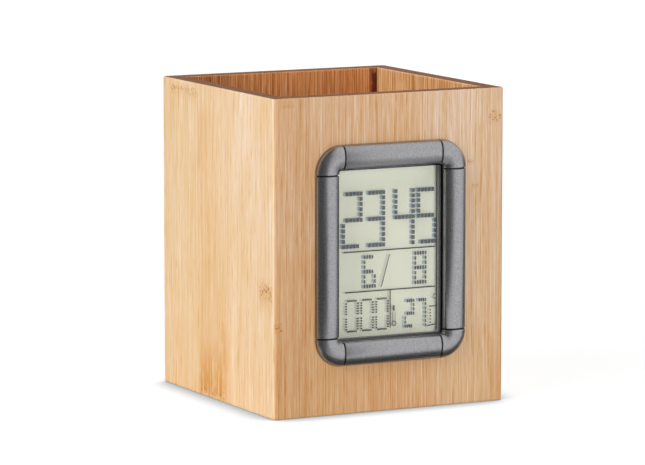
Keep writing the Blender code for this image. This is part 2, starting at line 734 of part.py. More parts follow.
def make_battery(surfaces, clock):
    """The coin cell, its two spring contacts and the cover that a coin turns."""
    half = CONTACT_WIDTH / 2
    start, end = BATTERY_CENTRE[0] - CONTACT_REACH, BATTERY_CENTRE[0] + CONTACT_REACH
    inside = end - CONTACT_THICKNESS
    leaf = [
        (start, CONTACT_FRONT),
        (inside, CONTACT_FRONT),
        (inside, PARTS_FRONT),
        (end, PARTS_FRONT),
        (end, CONTACT_BACK),
        (start, CONTACT_BACK),
    ]
    extrude(
        "negative_contact",
        leaf,
        BATTERY_CENTRE[1] - half,
        BATTERY_CENTRE[1] + half,
        "Z",
        surfaces["steel"],
        clock,
    )
    half = CLIP_WIDTH / 2
    near = clip_edge()
    far = near - CONTACT_THICKNESS
    foot_back = BOARD_BACK + GLASS_GAP + CONTACT_THICKNESS
    clip = [
        (near - CLIP_FOOT, BOARD_BACK + GLASS_GAP),
        (near, BOARD_BACK + GLASS_GAP),
        (near, BATTERY_BACK - SEAT_GAP),
        (far, BATTERY_BACK - SEAT_GAP),
        (far, foot_back),
        (near - CLIP_FOOT, foot_back),
    ]
    extrude(
        "positive_contact",
        clip,
        BATTERY_CENTRE[1] - half,
        BATTERY_CENTRE[1] + half,
        "Z",
        surfaces["steel"],
        clock,
    )
    small = BATTERY_RADIUS - BATTERY_RIM
    turned(
        "coin_cell",
        [
            (small, BATTERY_FRONT),
            (small, BATTERY_FRONT + BATTERY_STEP),
            (BATTERY_RADIUS, BATTERY_FRONT + BATTERY_STEP),
            (BATTERY_RADIUS, BATTERY_BACK),
        ],
        surfaces["steel"],
        clock,
        (BATTERY_CENTRE[0], 0.0, BATTERY_CENTRE[1]),
    )

    cover = extrude(
        "battery_cover",
        circle(COVER_RADIUS),
        COVER_FRONT,
        COVER_BACK,
        "Y",
        surfaces["black_plastic"],
        clock,
        (BATTERY_CENTRE[0], 0.0, BATTERY_CENTRE[1]),
    )
    lug_front = COVER_FRONT + COVER_LUG_SINK
    for number, turn in enumerate(lug_turns(0.0), 1):
        lug = lug_box(BATTERY_CENTRE, turn, LUG_RADIUS, COVER_LUG_WIDTH)
        join_plate(cover, f"cover_lug_{number}", lug, lug_front, lug_front + COVER_LUG_HEIGHT)
    ends = (COIN_SLOT_LENGTH / 2, COIN_SLOT_WIDTH / 2)
    slot = rectangle(
        (BATTERY_CENTRE[0] - ends[0], BATTERY_CENTRE[1] - ends[1]),
        (BATTERY_CENTRE[0] + ends[0], BATTERY_CENTRE[1] + ends[1]),
    )
    cut_plate(cover, "coin_slot", slot, COVER_BACK - COIN_SLOT_DEPTH, COVER_BACK + OVERRUN)


def button_places():
    spacing = 2 * OUTER_BUTTON_ACROSS / (len(BUTTON_NAMES) - 1)
    return [spacing * number - OUTER_BUTTON_ACROSS for number in range(len(BUTTON_NAMES))]


def make_buttons(surfaces, clock):
    """Four push buttons, whose plungers run through the collars of one rubber mat."""
    flange = BUTTON_RADIUS + BUTTON_FLANGE
    crown = BUTTON_RADIUS - BUTTON_CROWN
    profile = [
        (PLUNGER_RADIUS, PLUNGER_FRONT),
        (PLUNGER_RADIUS, FLANGE_FRONT),
        (flange, FLANGE_FRONT),
        (flange, FLANGE_BACK),
        (BUTTON_RADIUS, FLANGE_BACK),
        (BUTTON_RADIUS, BUTTON_BACK - BUTTON_CROWN),
        (crown, BUTTON_BACK),
    ]
    for name, across in zip(BUTTON_NAMES, button_places()):
        place_of_button = (across, 0.0, BUTTON_UP)
        turned(name, profile, surfaces["grey_rubber"], clock, place_of_button, SMALL_SIDES * 2)

    collar = PLUNGER_RADIUS + BUTTON_CLEARANCE + MAT_COLLAR_WALL
    half = (button_places()[-1] + collar + MAT_MARGIN, collar + MAT_MARGIN)
    mat = extrude(
        "keypad_mat",
        rounded_rectangle(half, MAT_CORNER),
        PARTS_FRONT,
        PARTS_FRONT + MAT_THICKNESS,
        "Y",
        surfaces["rubber"],
        clock,
        (0.0, 0.0, BUTTON_UP),
    )
    top = PARTS_FRONT + MAT_COLLAR_HEIGHT
    for number, across in enumerate(button_places(), 1):
        sleeve = circle(collar, SMALL_SIDES, (across, BUTTON_UP))
        join_plate(mat, f"mat_collar_{number}", sleeve, PARTS_FRONT + MAT_THICKNESS / 2, top)
        hole = circle(PLUNGER_RADIUS + BUTTON_CLEARANCE, SMALL_SIDES, (across, BUTTON_UP))
        cut_plate(mat, f"mat_hole_{number}", hole, PARTS_FRONT - OVERRUN, top + OVERRUN)


def make_screws(surfaces, clock):
    """Four self-tapping screws that hold the rear housing to the front frame."""
    seat = HOUSING_BACK - SCREW_POCKET_DEPTH + GLASS_GAP
    profile = [
        (SCREW_RADIUS / 2, SCREW_TIP_DEPTH - SCREW_RADIUS),
        (SCREW_RADIUS, SCREW_TIP_DEPTH),
        (SCREW_RADIUS, seat),
        (SCREW_HEAD_RADIUS, seat),
        (SCREW_HEAD_RADIUS, seat + SCREW_HEAD_HEIGHT),
    ]
    for number, centre in enumerate(boss_centres(), 1):
        where = (centre[0], 0.0, centre[1])
        screw = turned(
            f"housing_screw_{number}", profile, surfaces["steel"], clock, where, SMALL_SIDES
        )
        head = seat + SCREW_HEAD_HEIGHT
        half = SCREW_SLOT_WIDTH / 2
        reach = SCREW_HEAD_RADIUS * 3 / 5
        bars = (("across", (reach, half)), ("up", (half, reach)))
        for direction, ends in bars:
            slot = rectangle(
                (centre[0] - ends[0], centre[1] - ends[1]), (centre[0] + ends[0], centre[1] + ends[1])
            )
            name = f"screw_slot_{number}_{direction}"
            cut_plate(screw, name, slot, head - SCREW_SLOT_DEPTH, head + OVERRUN)


def make_surfaces():
    return {
        "bamboo": material("bamboo", (0.68, 0.43, 0.22), 0.45),
        "grey_paint": material("grey_paint", (0.30, 0.30, 0.32), 0.45, 0.3),
        "black_plastic": material("black_plastic", (0.02, 0.02, 0.022), 0.5),
        "clear": material("clear", (0.95, 0.97, 0.95), 0.05, 0.0, 0.3),
        "glass": material("glass", (0.80, 0.85, 0.78), 0.05, 0.0, 0.4),
        "reflector": material("reflector", (0.66, 0.68, 0.57), 0.4),
        "rubber": material("rubber", (0.06, 0.06, 0.07), 0.7),
        "grey_rubber": material("grey_rubber", (0.25, 0.25, 0.26), 0.6),
        "board_green": material("board_green", (0.02, 0.16, 0.06), 0.4),
        "black_resin": material("black_resin", (0.015, 0.015, 0.015), 0.3),
        "steel": material("steel", (0.60, 0.60, 0.60), 0.3, 1.0),
        "brass": material("brass", (0.70, 0.52, 0.20), 0.35, 1.0),
    }


def main():
    clear_scene()
    surfaces = make_surfaces()
    make_holder(surfaces)
    clock = bpy.data.objects.new("clock_module", None)
    clock.location = (0.0, -HOLDER_DEPTH / 2, CLOCK_CENTRE_HEIGHT)
    bpy.context.scene.collection.objects.link(clock)
    make_bezel(surfaces, clock)
    make_display(surfaces, clock)
    make_board(surfaces, clock)
    make_housing(surfaces, clock)
    make_battery(surfaces, clock)
    make_buttons(surfaces, clock)
    make_screws(surfaces, clock)


main()
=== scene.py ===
"""The looks of the pen holder clock: bamboo walls, satin grey frame, dot display, and the studio round them.

Metres, in the frame of the CAD: X across, Y into the object from its front, Z up from the table.
"""

import math

import bmesh
import bpy
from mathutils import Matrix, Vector


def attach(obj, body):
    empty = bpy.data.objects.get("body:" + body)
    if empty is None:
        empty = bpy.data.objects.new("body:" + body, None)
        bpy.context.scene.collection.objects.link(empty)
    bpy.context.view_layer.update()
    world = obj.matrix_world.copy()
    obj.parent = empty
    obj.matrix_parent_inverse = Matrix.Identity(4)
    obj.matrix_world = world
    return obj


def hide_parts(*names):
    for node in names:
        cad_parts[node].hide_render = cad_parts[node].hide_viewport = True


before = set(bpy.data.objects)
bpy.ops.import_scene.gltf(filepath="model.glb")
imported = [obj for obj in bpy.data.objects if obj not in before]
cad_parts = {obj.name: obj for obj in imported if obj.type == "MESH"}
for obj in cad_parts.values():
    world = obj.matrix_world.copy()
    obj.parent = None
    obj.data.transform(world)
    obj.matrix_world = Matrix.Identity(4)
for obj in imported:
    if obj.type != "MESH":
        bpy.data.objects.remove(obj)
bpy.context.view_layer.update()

MM = 0.001
WHITE = (1.0, 1.0, 1.0, 1.0)
QUARTER_TURN = math.radians(90)
SHARP_ANGLE = math.radians(35)
CORNER_SIDES = ((1, 1), (-1, 1), (-1, -1), (1, -1))

# The box
HOLDER_WIDTH = 81.0 * MM
HOLDER_HEIGHT = 100.0 * MM
WALL = 5.5 * MM
CORNER_EASING = 1.1 * MM
RIM_EASING = 0.5 * MM
GLUE_LINE = 0.02 * MM
HALF_WIDTH = HOLDER_WIDTH / 2
FRONT_FACE = -HALF_WIDTH
CLOCK_CENTRE_HEIGHT = 50.0 * MM

# The clock's frame
BEZEL_HALF = (26.15 * MM, 34.5 * MM)
BEZEL_CORNER = 8.7 * MM
BEZEL_BAR = 7.5 * MM
BEZEL_PROUD = 3.0 * MM
BEZEL_SIDE_HEIGHT = 1.0 * MM
BEZEL_INNER_EDGE_HEIGHT = 1.3 * MM
BEZEL_LIP = 0.5 * MM
BEZEL_LIP_DEPTH = 0.4 * MM
BEZEL_SEAT = 0.1 * MM
GROOVE_WIDTH = 0.7 * MM
GROOVE_DEPTH = 0.4 * MM
PLUG_INSET = 2.25 * MM
PLUG_CORNER = 4.7 * MM
PLUG_WALL = 1.2 * MM
PLUG_FRONT = -0.5 * MM  # inside the frame's bars
PLUG_BACK = 6.2 * MM
CUT_OUT_CLEARANCE = 0.3 * MM
BOSS_PLACE = (21.04 * MM, 29.39 * MM)
BOSS_RADIUS = 1.9 * MM
BOSS_FRONT = -0.3 * MM
BOSS_BACK = PLUG_BACK - 0.1 * MM
PILOT_RADIUS = 1.0 * MM
PILOT_FLOOR = 0.7 * MM
OVERLAP = 1.0 * MM  # how far a cutter reaches past what it cuts

# The display, as depths behind the front face
SEGMENT_DEPTH = 3.65 * MM
SEGMENT_THICKNESS = 0.04 * MM
SHADOW_DEPTH = 4.45 * MM
SHADOW_THICKNESS = 0.02 * MM
SHADOW_SHIFT = (-0.55, 0.05)  # across and up, in millimetres


# Colour and node helpers


def srgb(red, green, blue):
    """A colour written as on a screen, 0 to 255, as Blender's linear RGBA."""
    linear = []
    for level in (red, green, blue):
        share = level / 255
        linear.append(share / 12.92 if share <= 0.04045 else ((share + 0.055) / 1.055) ** 2.4)
    return (*linear, 1.0)


class Graph:
    """A material and short calls that add nodes to it."""

    def __init__(self, name):
        self.material = bpy.data.materials.new(name)
        self.material.use_nodes = True
        self.tree = self.material.node_tree
        self.shader = self.tree.nodes["Principled BSDF"]
        self.output = self.tree.nodes["Material Output"]

    def add(self, kind, inputs=None, output=0, **settings):
        node = self.tree.nodes.new("ShaderNode" + kind)
        for name, value in settings.items():
            setattr(node, name, value)
        for socket, value in (inputs or {}).items():
            self.put(node.inputs[socket], value)
        return node.outputs[output]

    def put(self, socket, value):
        if isinstance(value, bpy.types.NodeSocket):
            self.tree.links.new(value, socket)
        else:
            socket.default_value = value

    def set(self, **values):
        """Sets the shader's own sockets, written with underscores for spaces."""
        for name, value in values.items():
            self.put(self.shader.inputs[name.replace("_", " ")], value)

    def math(self, operation, first, second=0.0):
        return self.add("Math", {0: first, 1: second}, operation=operation)

    def plus(self, first, second):
        return self.math("ADD", first, second)

    def minus(self, first, second):
        return self.math("SUBTRACT", first, second)

    def times(self, first, second):
        return self.math("MULTIPLY", first, second)

    def most(self, first, second):
        return self.math("MAXIMUM", first, second)

    def size(self, value):
        return self.math("ABSOLUTE", value)

    def fade(self, value, start, end, low=0.0, high=1.0, smooth=True):
        """Runs from low to high while the value runs from start to end."""
        return self.add(
            "MapRange",
            {"Value": value, "From Min": start, "From Max": end, "To Min": low, "To Max": high},
            interpolation_type="SMOOTHSTEP" if smooth else "LINEAR",
        )

    def mix(self, factor, first, second, blend="MIX"):
        return self.add("Mix", {0: factor, 6: first, 7: second}, 2, data_type="RGBA", blend_type=blend)

    def tinted(self, factor, colour, tint):
        """The colour, multiplied by the tint as far as the factor says."""
        return self.mix(factor, colour, self.mix(1.0, colour, tint, "MULTIPLY"))

    def ramp(self, factor, stops):
        socket = self.add("ValToRGB", {"Fac": factor})
        ramp = socket.node.color_ramp
        while len(ramp.elements) < len(stops):
            ramp.elements.new(1.0)
        for element, (position, colour) in zip(ramp.elements, stops):
            element.position = position
            element.color = colour
        return socket

    def place(self):
        return self.add("TexCoord", output="Object")

    def split(self, vector):
        socket = self.add("SeparateXYZ", {0: vector})
        return socket.node.outputs[0], socket.node.outputs[1], socket.node.outputs[2]

    def join(self, x=0.0, y=0.0, z=0.0):
        return self.add("CombineXYZ", {0: x, 1: y, 2: z})

    def scaled(self, vector, factors):
        return self.add("VectorMath", {0: vector, 1: factors}, operation="MULTIPLY")

    def moved(self, vector, offset):
        return self.add("VectorMath", {0: vector, 1: offset}, operation="ADD")

    def noise(self, vector, scale=1.0, detail=2.0, roughness=0.5, output=0):
        values = {"Vector": vector, "Scale": scale, "Detail": detail, "Roughness": roughness}
        return self.add("TexNoise", values, output)

    def bump(self, height, distance, strength):
        return self.add("Bump", {"Height": height, "Distance": distance, "Strength": strength})


# Bamboo


INNER_FACE = HALF_WIDTH - WALL
WIDE_STRIP = 18.5 * MM
NARROW_STRIP = 5.2 * MM
STRIP_JOINT = 0.14 * MM
STRIP_DRIFT = 0.5 * MM  # how far a joint between strips wanders
FIBRE_SPREAD = 0.16  # of the noise on either side of its middle, from the darkest to the lightest fibre
FOOT_REACH = 90.0 * MM
STAIN_FEATHER = 6.0 * MM
FIBRE_RELIEF = 0.04 * MM

# Tints of the wood, which its colour is multiplied by
STRIP_TINT = (0.93, 0.90, 0.85, 1.0)
CLOUD_TINT = (0.965, 0.92, 0.82, 1.0)
FOOT_TINT = (0.97, 0.90, 0.76, 1.0)
BLUSH_TINT = (0.97, 0.84, 0.74, 1.0)
INNER_TINT = (1.0, 0.84, 0.68)
THREAD_TINT = (1.0, 0.92, 0.80, 1.0)
# Painted shade inside the box, and more of it towards one side
INSIDE_SHADE_TINT = srgb(214, 196, 182)
DARK_SIDE_SHADE_TINT = srgb(196, 186, 182)

# Colours painted over the wood
DASH = srgb(190, 130, 78)
GLUE = srgb(150, 98, 58)
SCORCH = srgb(203, 143, 66)
DOT = srgb(166, 98, 48)
# A painted shadow along the clock's frame
FRAME_SHADOW = srgb(52, 40, 34)
STAIN = srgb(98, 38, 20)
PORE, END_GRAIN, END_PATCH = srgb(82, 52, 36), srgb(142, 99, 70), srgb(116, 81, 58)


def stem_joints(g, colour, point, across, licks, dots, marks):
    """Dots where a stem had its joints, and scorched fibres next to them."""
    _, _, z = g.split(point)
    warp = g.noise(g.scaled(point, (320.0, 320.0, 260.0)), detail=2.0, output=1)
    place = g.scaled(point, (1050.0 * dots, 1050.0 * dots, 960.0 * dots))
    place = g.moved(place, g.scaled(warp, (1.8, 1.8, 1.8)))
    near = g.add("TexVoronoi", {"Vector": place, "Scale": 1.0}, "Distance")
    spots = g.fade(near, 0.22, 0.48, 1.0, 0.0)
    dotted, scorched = 0.0, 0.0
    for at, height, half_width, half_height, strength, reach, burn in marks:
        side = g.math("DIVIDE", g.size(g.minus(across, at)), half_width)
        bow = g.times(g.math("POWER", side, 2.0), 0.4 * half_height)
        rise = g.plus(g.minus(z, height), bow)
        off = g.math("DIVIDE", g.size(rise), half_height)
        edge = g.fade(side, 0.75, 1.05, 1.0, 0.0)
        dotted = g.most(dotted, g.times(edge, g.fade(off, 0.25, 1.0, strength, 0.0)))
        away = g.times(rise, math.copysign(1.0, reach))
        tail = g.times(g.fade(away, 0.0, abs(reach), burn, 0.0), g.fade(away, -half_height, 0.0))
        scorched = g.most(scorched, g.times(edge, tail))
    colour = g.mix(g.times(scorched, g.plus(0.05, g.times(licks, 0.95))), colour, SCORCH)
    return g.mix(g.times(spots, dotted), colour, DOT)


def frame_contact_shadow(g, colour, point, face, half_size, corner):
    """A painted shadow: a dark line on the outer face, where the clock's frame meets the wood."""
    x, _, z = g.split(point)
    beside = g.plus(g.minus(g.size(x), half_size[0]), corner)
    over = g.plus(g.minus(g.size(g.minus(z, CLOCK_CENTRE_HEIGHT)), half_size[1]), corner)
    aside = g.join(g.most(beside, 0.0), g.most(over, 0.0), 0.0)
    away = g.minus(g.add("VectorMath", {0: aside}, 1, operation="LENGTH"), corner)
    line = g.times(g.fade(away, 0.10 * MM, 0.42 * MM, 0.40, 0.0), g.fade(away, -0.25 * MM, -0.1 * MM))
    front = g.fade(face, HALF_WIDTH - 0.3 * MM, HALF_WIDTH - 0.1 * MM)
    return g.mix(g.times(line, front), colour, FRAME_SHADOW)


def bamboo(name, axis, outward, palette, tints, seed, marks=(), **options):
    """Bamboo strips that stand upright side by side.

    axis is the axis across the strips, and outward the axis and side that the wall faces. palette
    has the fibres' colours from dark to light, and tints the broad changes of tone across the wall.
    marks are where a stem had its joints: place across, height, half width, half height, strength
    of the dots, and the reach and strength of the scorched fibres next to them. The options:

    strip: a strip's width
    fineness, contrast: of the fibres
    dots: how much finer the dots are than the fibres
    foot: how much warmer the foot is
    frame: half sizes and corner of the clock's frame, along which a painted shadow darkens the wood
    inner: the tint of the inside, its painted shade and warm bounced light
    dusk: between which places across the inside gets darker, with more painted shade
    stain: a smear of glue inside: where it starts and ends across, and its lower end
    lying: fibres along Y, as in the bottom, whose ends don't show
    """
    strip = options.get("strip", WIDE_STRIP)
    fineness = options.get("fineness", 1.0)
    g = Graph(name)
    point = g.place()
    x, y, z = g.split(point)
    if options.get("lying"):
        point = g.join(x, z, y)
        x, y, z = g.split(point)
    along_axis = {"X": x, "Y": y}
    across = along_axis[axis]
    face = g.times(along_axis[outward[0]], outward[1])
    inside = g.fade(face, INNER_FACE + 0.02 * MM, INNER_FACE + 0.3 * MM, 1.0, 0.0)

    # Each strip's own numbers, and how near its glue joint is
    drift = g.noise(g.scaled(point, (6.0, 6.0, 9.0)), detail=0.0)
    straight = g.plus(across, g.times(g.minus(drift, 0.5), STRIP_DRIFT))
    lane = {"W": g.plus(straight, seed * 0.37), "Scale": 1 / strip, "Randomness": 0.5}
    cell = g.add("TexVoronoi", lane, "Color", voronoi_dimensions="1D")
    gap = g.add("TexVoronoi", lane, "Distance", voronoi_dimensions="1D", feature="DISTANCE_TO_EDGE")
    joint = g.fade(gap, 0.0, STRIP_JOINT / strip, 1.0, 0.0)
    pick, lift, _ = g.split(cell)

    # Fibres run up the strip, each strip's with its own pattern
    own = g.join(0.0, 0.0, g.plus(g.times(lift, 0.9), seed * 1.7))
    place = g.moved(point, own)

    def fibres(width, length, detail, roughness=0.5):
        factors = (width * fineness, width * fineness, length)
        return g.noise(g.scaled(place, factors), detail=detail, roughness=roughness)

    fine = fibres(3300.0, 60.0, 1.0)
    middle = fibres(1900.0, 26.0, 2.0, 0.7)
    broad = fibres(560.0, 12.0, 2.0)
    swell = fibres(800.0, 160.0, 2.0)
    fleck = fibres(1500.0, 240.0, 2.0)
    fibre = g.plus(g.times(fine, 0.5), g.times(middle, 0.5))
    swing = g.times(g.minus(fibre, 0.5), g.fade(swell, 0.35, 0.65, 0.3, 1.7))
    fibre = g.plus(swing, g.plus(g.times(broad, 0.12), 0.38))
    fibre = g.plus(fibre, g.times(fleck, 0.12))
    spread = FIBRE_SPREAD / options.get("contrast", 1.0)
    level = g.fade(fibre, 0.5 - spread, 0.5 + spread, 0.0, 1.0, smooth=False)
    colour = g.ramp(level, [(index / (len(palette) - 1), tone) for index, tone in enumerate(palette)])
    vein = fibres(2100.0, 11.0, 0.0)
    colour = g.mix(g.fade(vein, 0.64, 0.74, 0.0, 0.30), colour, palette[-1])
    colour = g.mix(g.fade(vein, 0.26, 0.36, 0.22, 0.0), colour, palette[0])

    # Broad tones: across the wall, from strip to strip, in clouds, and warmer towards the foot
    share = g.fade(straight, -HALF_WIDTH, HALF_WIDTH, smooth=False)
    stops = [((at + HALF_WIDTH) / HOLDER_WIDTH, (*tint, 1.0)) for at, tint in tints]
    colour = g.mix(1.0, colour, g.ramp(share, stops), "MULTIPLY")
    colour = g.tinted(g.fade(pick, 0.0, 1.0, 0.0, 0.6), colour, STRIP_TINT)
    cloud = g.noise(g.scaled(place, (70.0, 70.0, 30.0)), detail=3.0, roughness=0.6)
    colour = g.tinted(g.fade(cloud, 0.42, 0.68), colour, CLOUD_TINT)
    colour = g.tinted(g.fade(z, 0.0, FOOT_REACH, options.get("foot", 0.6), 0.0), colour, FOOT_TINT)

    # Pinkish and brown threads, and the glue joints
    blush = fibres(1700.0, 17.0, 1.0)
    colour = g.tinted(g.fade(blush, 0.56, 0.66, 0.0, 0.30), colour, BLUSH_TINT)
    dash = fibres(2300.0, 120.0, 1.0)
    colour = g.mix(g.fade(dash, 0.64, 0.76, 0.0, 0.35), colour, DASH)
    colour = g.mix(g.times(joint, 0.16), colour, GLUE)

    if marks:
        licks = g.fade(g.plus(g.times(middle, 0.75), g.times(fleck, 0.25)), 0.40, 0.56)
        dots = fineness * options.get("dots", 1.0)
        colour = stem_joints(g, colour, point, across, licks, dots, marks)
    if "frame" in options:
        colour = frame_contact_shadow(g, colour, point, face, *options["frame"])

    # Inside, the faces are painted darker and warmer: painted shade, and the warm light that the walls throw
    # on each other
    inside_shading = g.mix(g.fade(fibre, 0.42, 0.56), INSIDE_SHADE_TINT, WHITE)
    inside_shading = g.mix(1.0, inside_shading, (*options.get("inner", INNER_TINT), 1.0), "MULTIPLY")
    if "dusk" in options:
        inside_shading = g.tinted(g.fade(across, *options["dusk"], 1.0, 0.0), inside_shading, DARK_SIDE_SHADE_TINT)
    thread = fibres(1500.0, 7.0, 0.0)
    inside_shading = g.mix(g.fade(thread, 0.56, 0.64, 0.0, 0.45), inside_shading, THREAD_TINT)
    colour = g.tinted(inside, colour, inside_shading)
    if "stain" in options:
        first, last, low = options["stain"]
        smear = g.noise(g.scaled(point, (500.0, 500.0, 160.0)), detail=3.0, roughness=0.7)
        grip = g.times(g.fade(across, first, last), g.fade(smear, 0.36, 0.54, 0.5, 1.0))
        grip = g.times(g.times(grip, inside), g.fade(z, low - STAIN_FEATHER, low))
        colour = g.mix(grip, colour, STAIN)

    # End grain on the rim and underneath
    _, _, upward = g.split(g.add("NewGeometry", output="Normal"))
    end = g.fade(g.size(upward), 0.80, 0.95, 0.0, 0.0 if options.get("lying") else 1.0)
    pores = g.add("TexVoronoi", {"Vector": point, "Scale": 1700.0}, "Distance")
    grain = g.mix(g.fade(pores, 0.12, 0.55), PORE, END_GRAIN)
    patch = g.noise(point, scale=420.0, detail=2.0)
    grain = g.mix(g.fade(patch, 0.35, 0.7, 0.0, 0.55), grain, END_PATCH)
    g.set(Base_Color=g.mix(end, colour, grain))

    g.set(Roughness=g.plus(g.fade(fine, 0.3, 0.75, 0.46, 0.60), g.times(end, 0.4)))
    g.set(Specular_IOR_Level=0.3)
    height = g.minus(g.plus(fine, middle), g.times(joint, 0.6))
    g.set(Normal=g.bump(height, FIBRE_RELIEF, 0.35))
    return g.material


# Mesh helpers


def rounded_rectangle(half, corner, steps):
    points = []
    for quarter, (side, top) in enumerate(CORNER_SIDES):
        centre = (side * (half[0] - corner), top * (half[1] - corner))
        for step in range(steps + 1):
            angle = QUARTER_TURN * (quarter + step / steps)
            points.append((centre[0] + corner * math.cos(angle), centre[1] + corner * math.sin(angle)))
    return points


def circle(radius, sides, centre):
    turns = [2 * math.pi * side / sides for side in range(sides)]
    return [(centre[0] + radius * math.cos(t), centre[1] + radius * math.sin(t)) for t in turns]


def in_clock(across, depth, up):
    """A point of the clock, given from its centre and its front plane, in the frame."""
    return (across, FRONT_FACE + depth, CLOCK_CENTRE_HEIGHT + up)


def finished(name, builder, surface):
    bmesh.ops.recalc_face_normals(builder, faces=builder.faces)
    mesh = bpy.data.meshes.new(name)
    builder.to_mesh(mesh)
    builder.free()
    made = bpy.data.objects.new(name, mesh)
    bpy.context.scene.collection.objects.link(made)
    if surface is not None:
        mesh.materials.append(surface)
    mesh.shade_smooth()
    mesh.set_sharp_from_angle(angle=SHARP_ANGLE)
    return made


def lofted(name, loops, surface, closed=False):
    builder = bmesh.new()
    rows = [[builder.verts.new(point) for point in loop] for loop in loops]
    pairs = list(zip(rows, rows[1:]))
    if closed:
        pairs.append((rows[-1], rows[0]))
    for first, second in pairs:
        for index in range(len(first)):
            after = (index + 1) % len(first)
            builder.faces.new((first[index], first[after], second[after], second[index]))
    if not closed:
        builder.faces.new(rows[0])
        builder.faces.new(rows[-1])
    return finished(name, builder, surface)


def plate(name, outline, front, back, surface=None):
    """A plate of the clock between two depths."""
    loops = [[in_clock(u, depth, v) for u, v in outline] for depth in (front, back)]
    return lofted(name, loops, surface)


def combine(target, operation, other):
    """Cuts or joins a helper into the target, and deletes the helper."""
    step = target.modifiers.new("combine", "BOOLEAN")
    step.operation = operation
    step.object = other
    step.solver = "EXACT"
    scene_state = bpy.context.evaluated_depsgraph_get()
    mesh = bpy.data.meshes.new_from_object(target.evaluated_get(scene_state))
    target.modifiers.remove(step)
    old = target.data
    target.data = mesh
    bpy.data.meshes.remove(old)
    spent = other.data
    bpy.data.objects.remove(other)
    bpy.data.meshes.remove(spent)
    target.data.set_sharp_from_angle(angle=SHARP_ANGLE)


def settle(piece, body, slot, *replaced):
    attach(piece, body)
    if replaced:
        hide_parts(*replaced)
    return piece


# The box's walls


EASING_STEPS = 6
RIM_STEPS = 3
SUPPORT = 0.2 * MM  # from an easing to the loop that keeps the flat face flat


def wall_outline(inset):
    """A mitred wall's plan as distance along it and outwards, at this inset of its rim."""
    middle = HALF_WIDTH - inset - CORNER_EASING
    half = [(HALF_WIDTH - WALL + inset - GLUE_LINE, HALF_WIDTH - WALL + inset)]
    for step in range(EASING_STEPS + 1):
        angle = QUARTER_TURN / 2 * (1 + step / EASING_STEPS)
        along = middle + CORNER_EASING * math.cos(angle) - GLUE_LINE
        half.append((along, middle + CORNER_EASING * math.sin(angle)))
    half.append((middle - SUPPORT, HALF_WIDTH - inset))
    return half + [(-along, out) for along, out in reversed(half)]


def make_wall(name, quarter_turns, surface):
    turn = QUARTER_TURN * quarter_turns
    levels = []
    for step in range(RIM_STEPS + 1):
        angle = QUARTER_TURN * step / RIM_STEPS
        levels.append((RIM_EASING * (1 - math.cos(angle)), RIM_EASING * (1 - math.sin(angle))))
    levels.append((RIM_EASING + SUPPORT, 0.0))
    levels += [(HOLDER_HEIGHT - height, inset) for height, inset in reversed(levels)]
    loops = []
    for height, inset in levels:
        loop = []
        for along, out in wall_outline(inset):
            x = along * math.cos(turn) + out * math.sin(turn)
            y = along * math.sin(turn) - out * math.cos(turn)
            loop.append((x, y, height))
        loops.append(loop)
    return lofted(name, loops, surface)


FRONT_FIBRES = [
    srgb(206, 148, 92),
    srgb(214, 166, 118),
    srgb(221, 180, 140),
    srgb(227, 192, 158),
    srgb(232, 204, 178),
]
LEFT_FIBRES = [
    srgb(215, 164, 94),
    srgb(223, 182, 128),
    srgb(229, 194, 151),
    srgb(233, 203, 168),
    srgb(238, 213, 187),
]
FRONT_TINTS = [
    (-40.5 * MM, (0.90, 0.88, 0.86)),
    (-33.0 * MM, (0.89, 0.89, 0.91)),
    (-22.0 * MM, (0.905, 0.92, 0.93)),
    (-5.0 * MM, (0.93, 0.93, 0.95)),
    (6.0 * MM, (0.96, 0.99, 1.06)),
    (18.0 * MM, (1.01, 1.14, 1.38)),
    (30.0 * MM, (1.02, 1.18, 1.44)),
    (40.5 * MM, (0.96, 1.02, 1.12)),
]
LEFT_TINTS = [
    (-40.5 * MM, (1.03, 1.11, 1.30)),
    (-30.0 * MM, (1.01, 1.07, 1.20)),
    (-20.0 * MM, (1.03, 1.12, 1.32)),
    (-12.0 * MM, (1.02, 1.08, 1.21)),
    (-5.0 * MM, (0.985, 1.00, 1.03)),
    (6.0 * MM, (0.96, 0.965, 0.96)),
    (14.0 * MM, (0.96, 0.975, 0.97)),
    (21.0 * MM, (0.97, 1.02, 1.08)),
    (40.5 * MM, (0.97, 1.01, 1.07)),
]
PLAIN_TINTS = [
    (-40.5 * MM, (1.0, 0.99, 0.97)),
    (0.0, (0.98, 0.97, 0.95)),
    (40.5 * MM, (1.0, 1.0, 1.0)),
]
FRONT_MARKS = [
    (-35.4 * MM, 97.6 * MM, 2.2 * MM, 1.0 * MM, 0.2, 2.0 * MM, 0.5),
    (37.2 * MM, 91.2 * MM, 2.3 * MM, 2.6 * MM, 0.85, -4.0 * MM, 0.4),
    (28.6 * MM, 77.3 * MM, 1.3 * MM, 1.0 * MM, 0.5, -2.0 * MM, 0.3),
    (30.2 * MM, 69.5 * MM, 1.2 * MM, 0.8 * MM, 0.4, -2.0 * MM, 0.3),
    (-39.0 * MM, 29.0 * MM, 1.6 * MM, 2.0 * MM, 0.8, -3.0 * MM, 0.4),
]
LEFT_MARKS = [
    (24.0 * MM, 97.2 * MM, 11.0 * MM, 1.9 * MM, 0.65, -5.0 * MM, 0.35),
    (11.0 * MM, 88.0 * MM, 3.6 * MM, 9.0 * MM, 0.0, -30.0 * MM, 0.30),
    (3.7 * MM, 2.2 * MM, 10.6 * MM, 1.9 * MM, 0.75, 26.0 * MM, 1.0),
    (3.7 * MM, 8.0 * MM, 10.2 * MM, 2.0 * MM, 0.0, 40.0 * MM, 0.30),
    (-3.8 * MM, 2.6 * MM, 3.2 * MM, 1.6 * MM, 0.6, 34.0 * MM, 1.0),
    (-34.8 * MM, 40.0 * MM, 4.8 * MM, 3.4 * MM, 0.7, -9.0 * MM, 0.6),
    (-34.0 * MM, 40.0 * MM, 3.6 * MM, 1.0 * MM, 0.0, 6.0 * MM, 0.4),
]
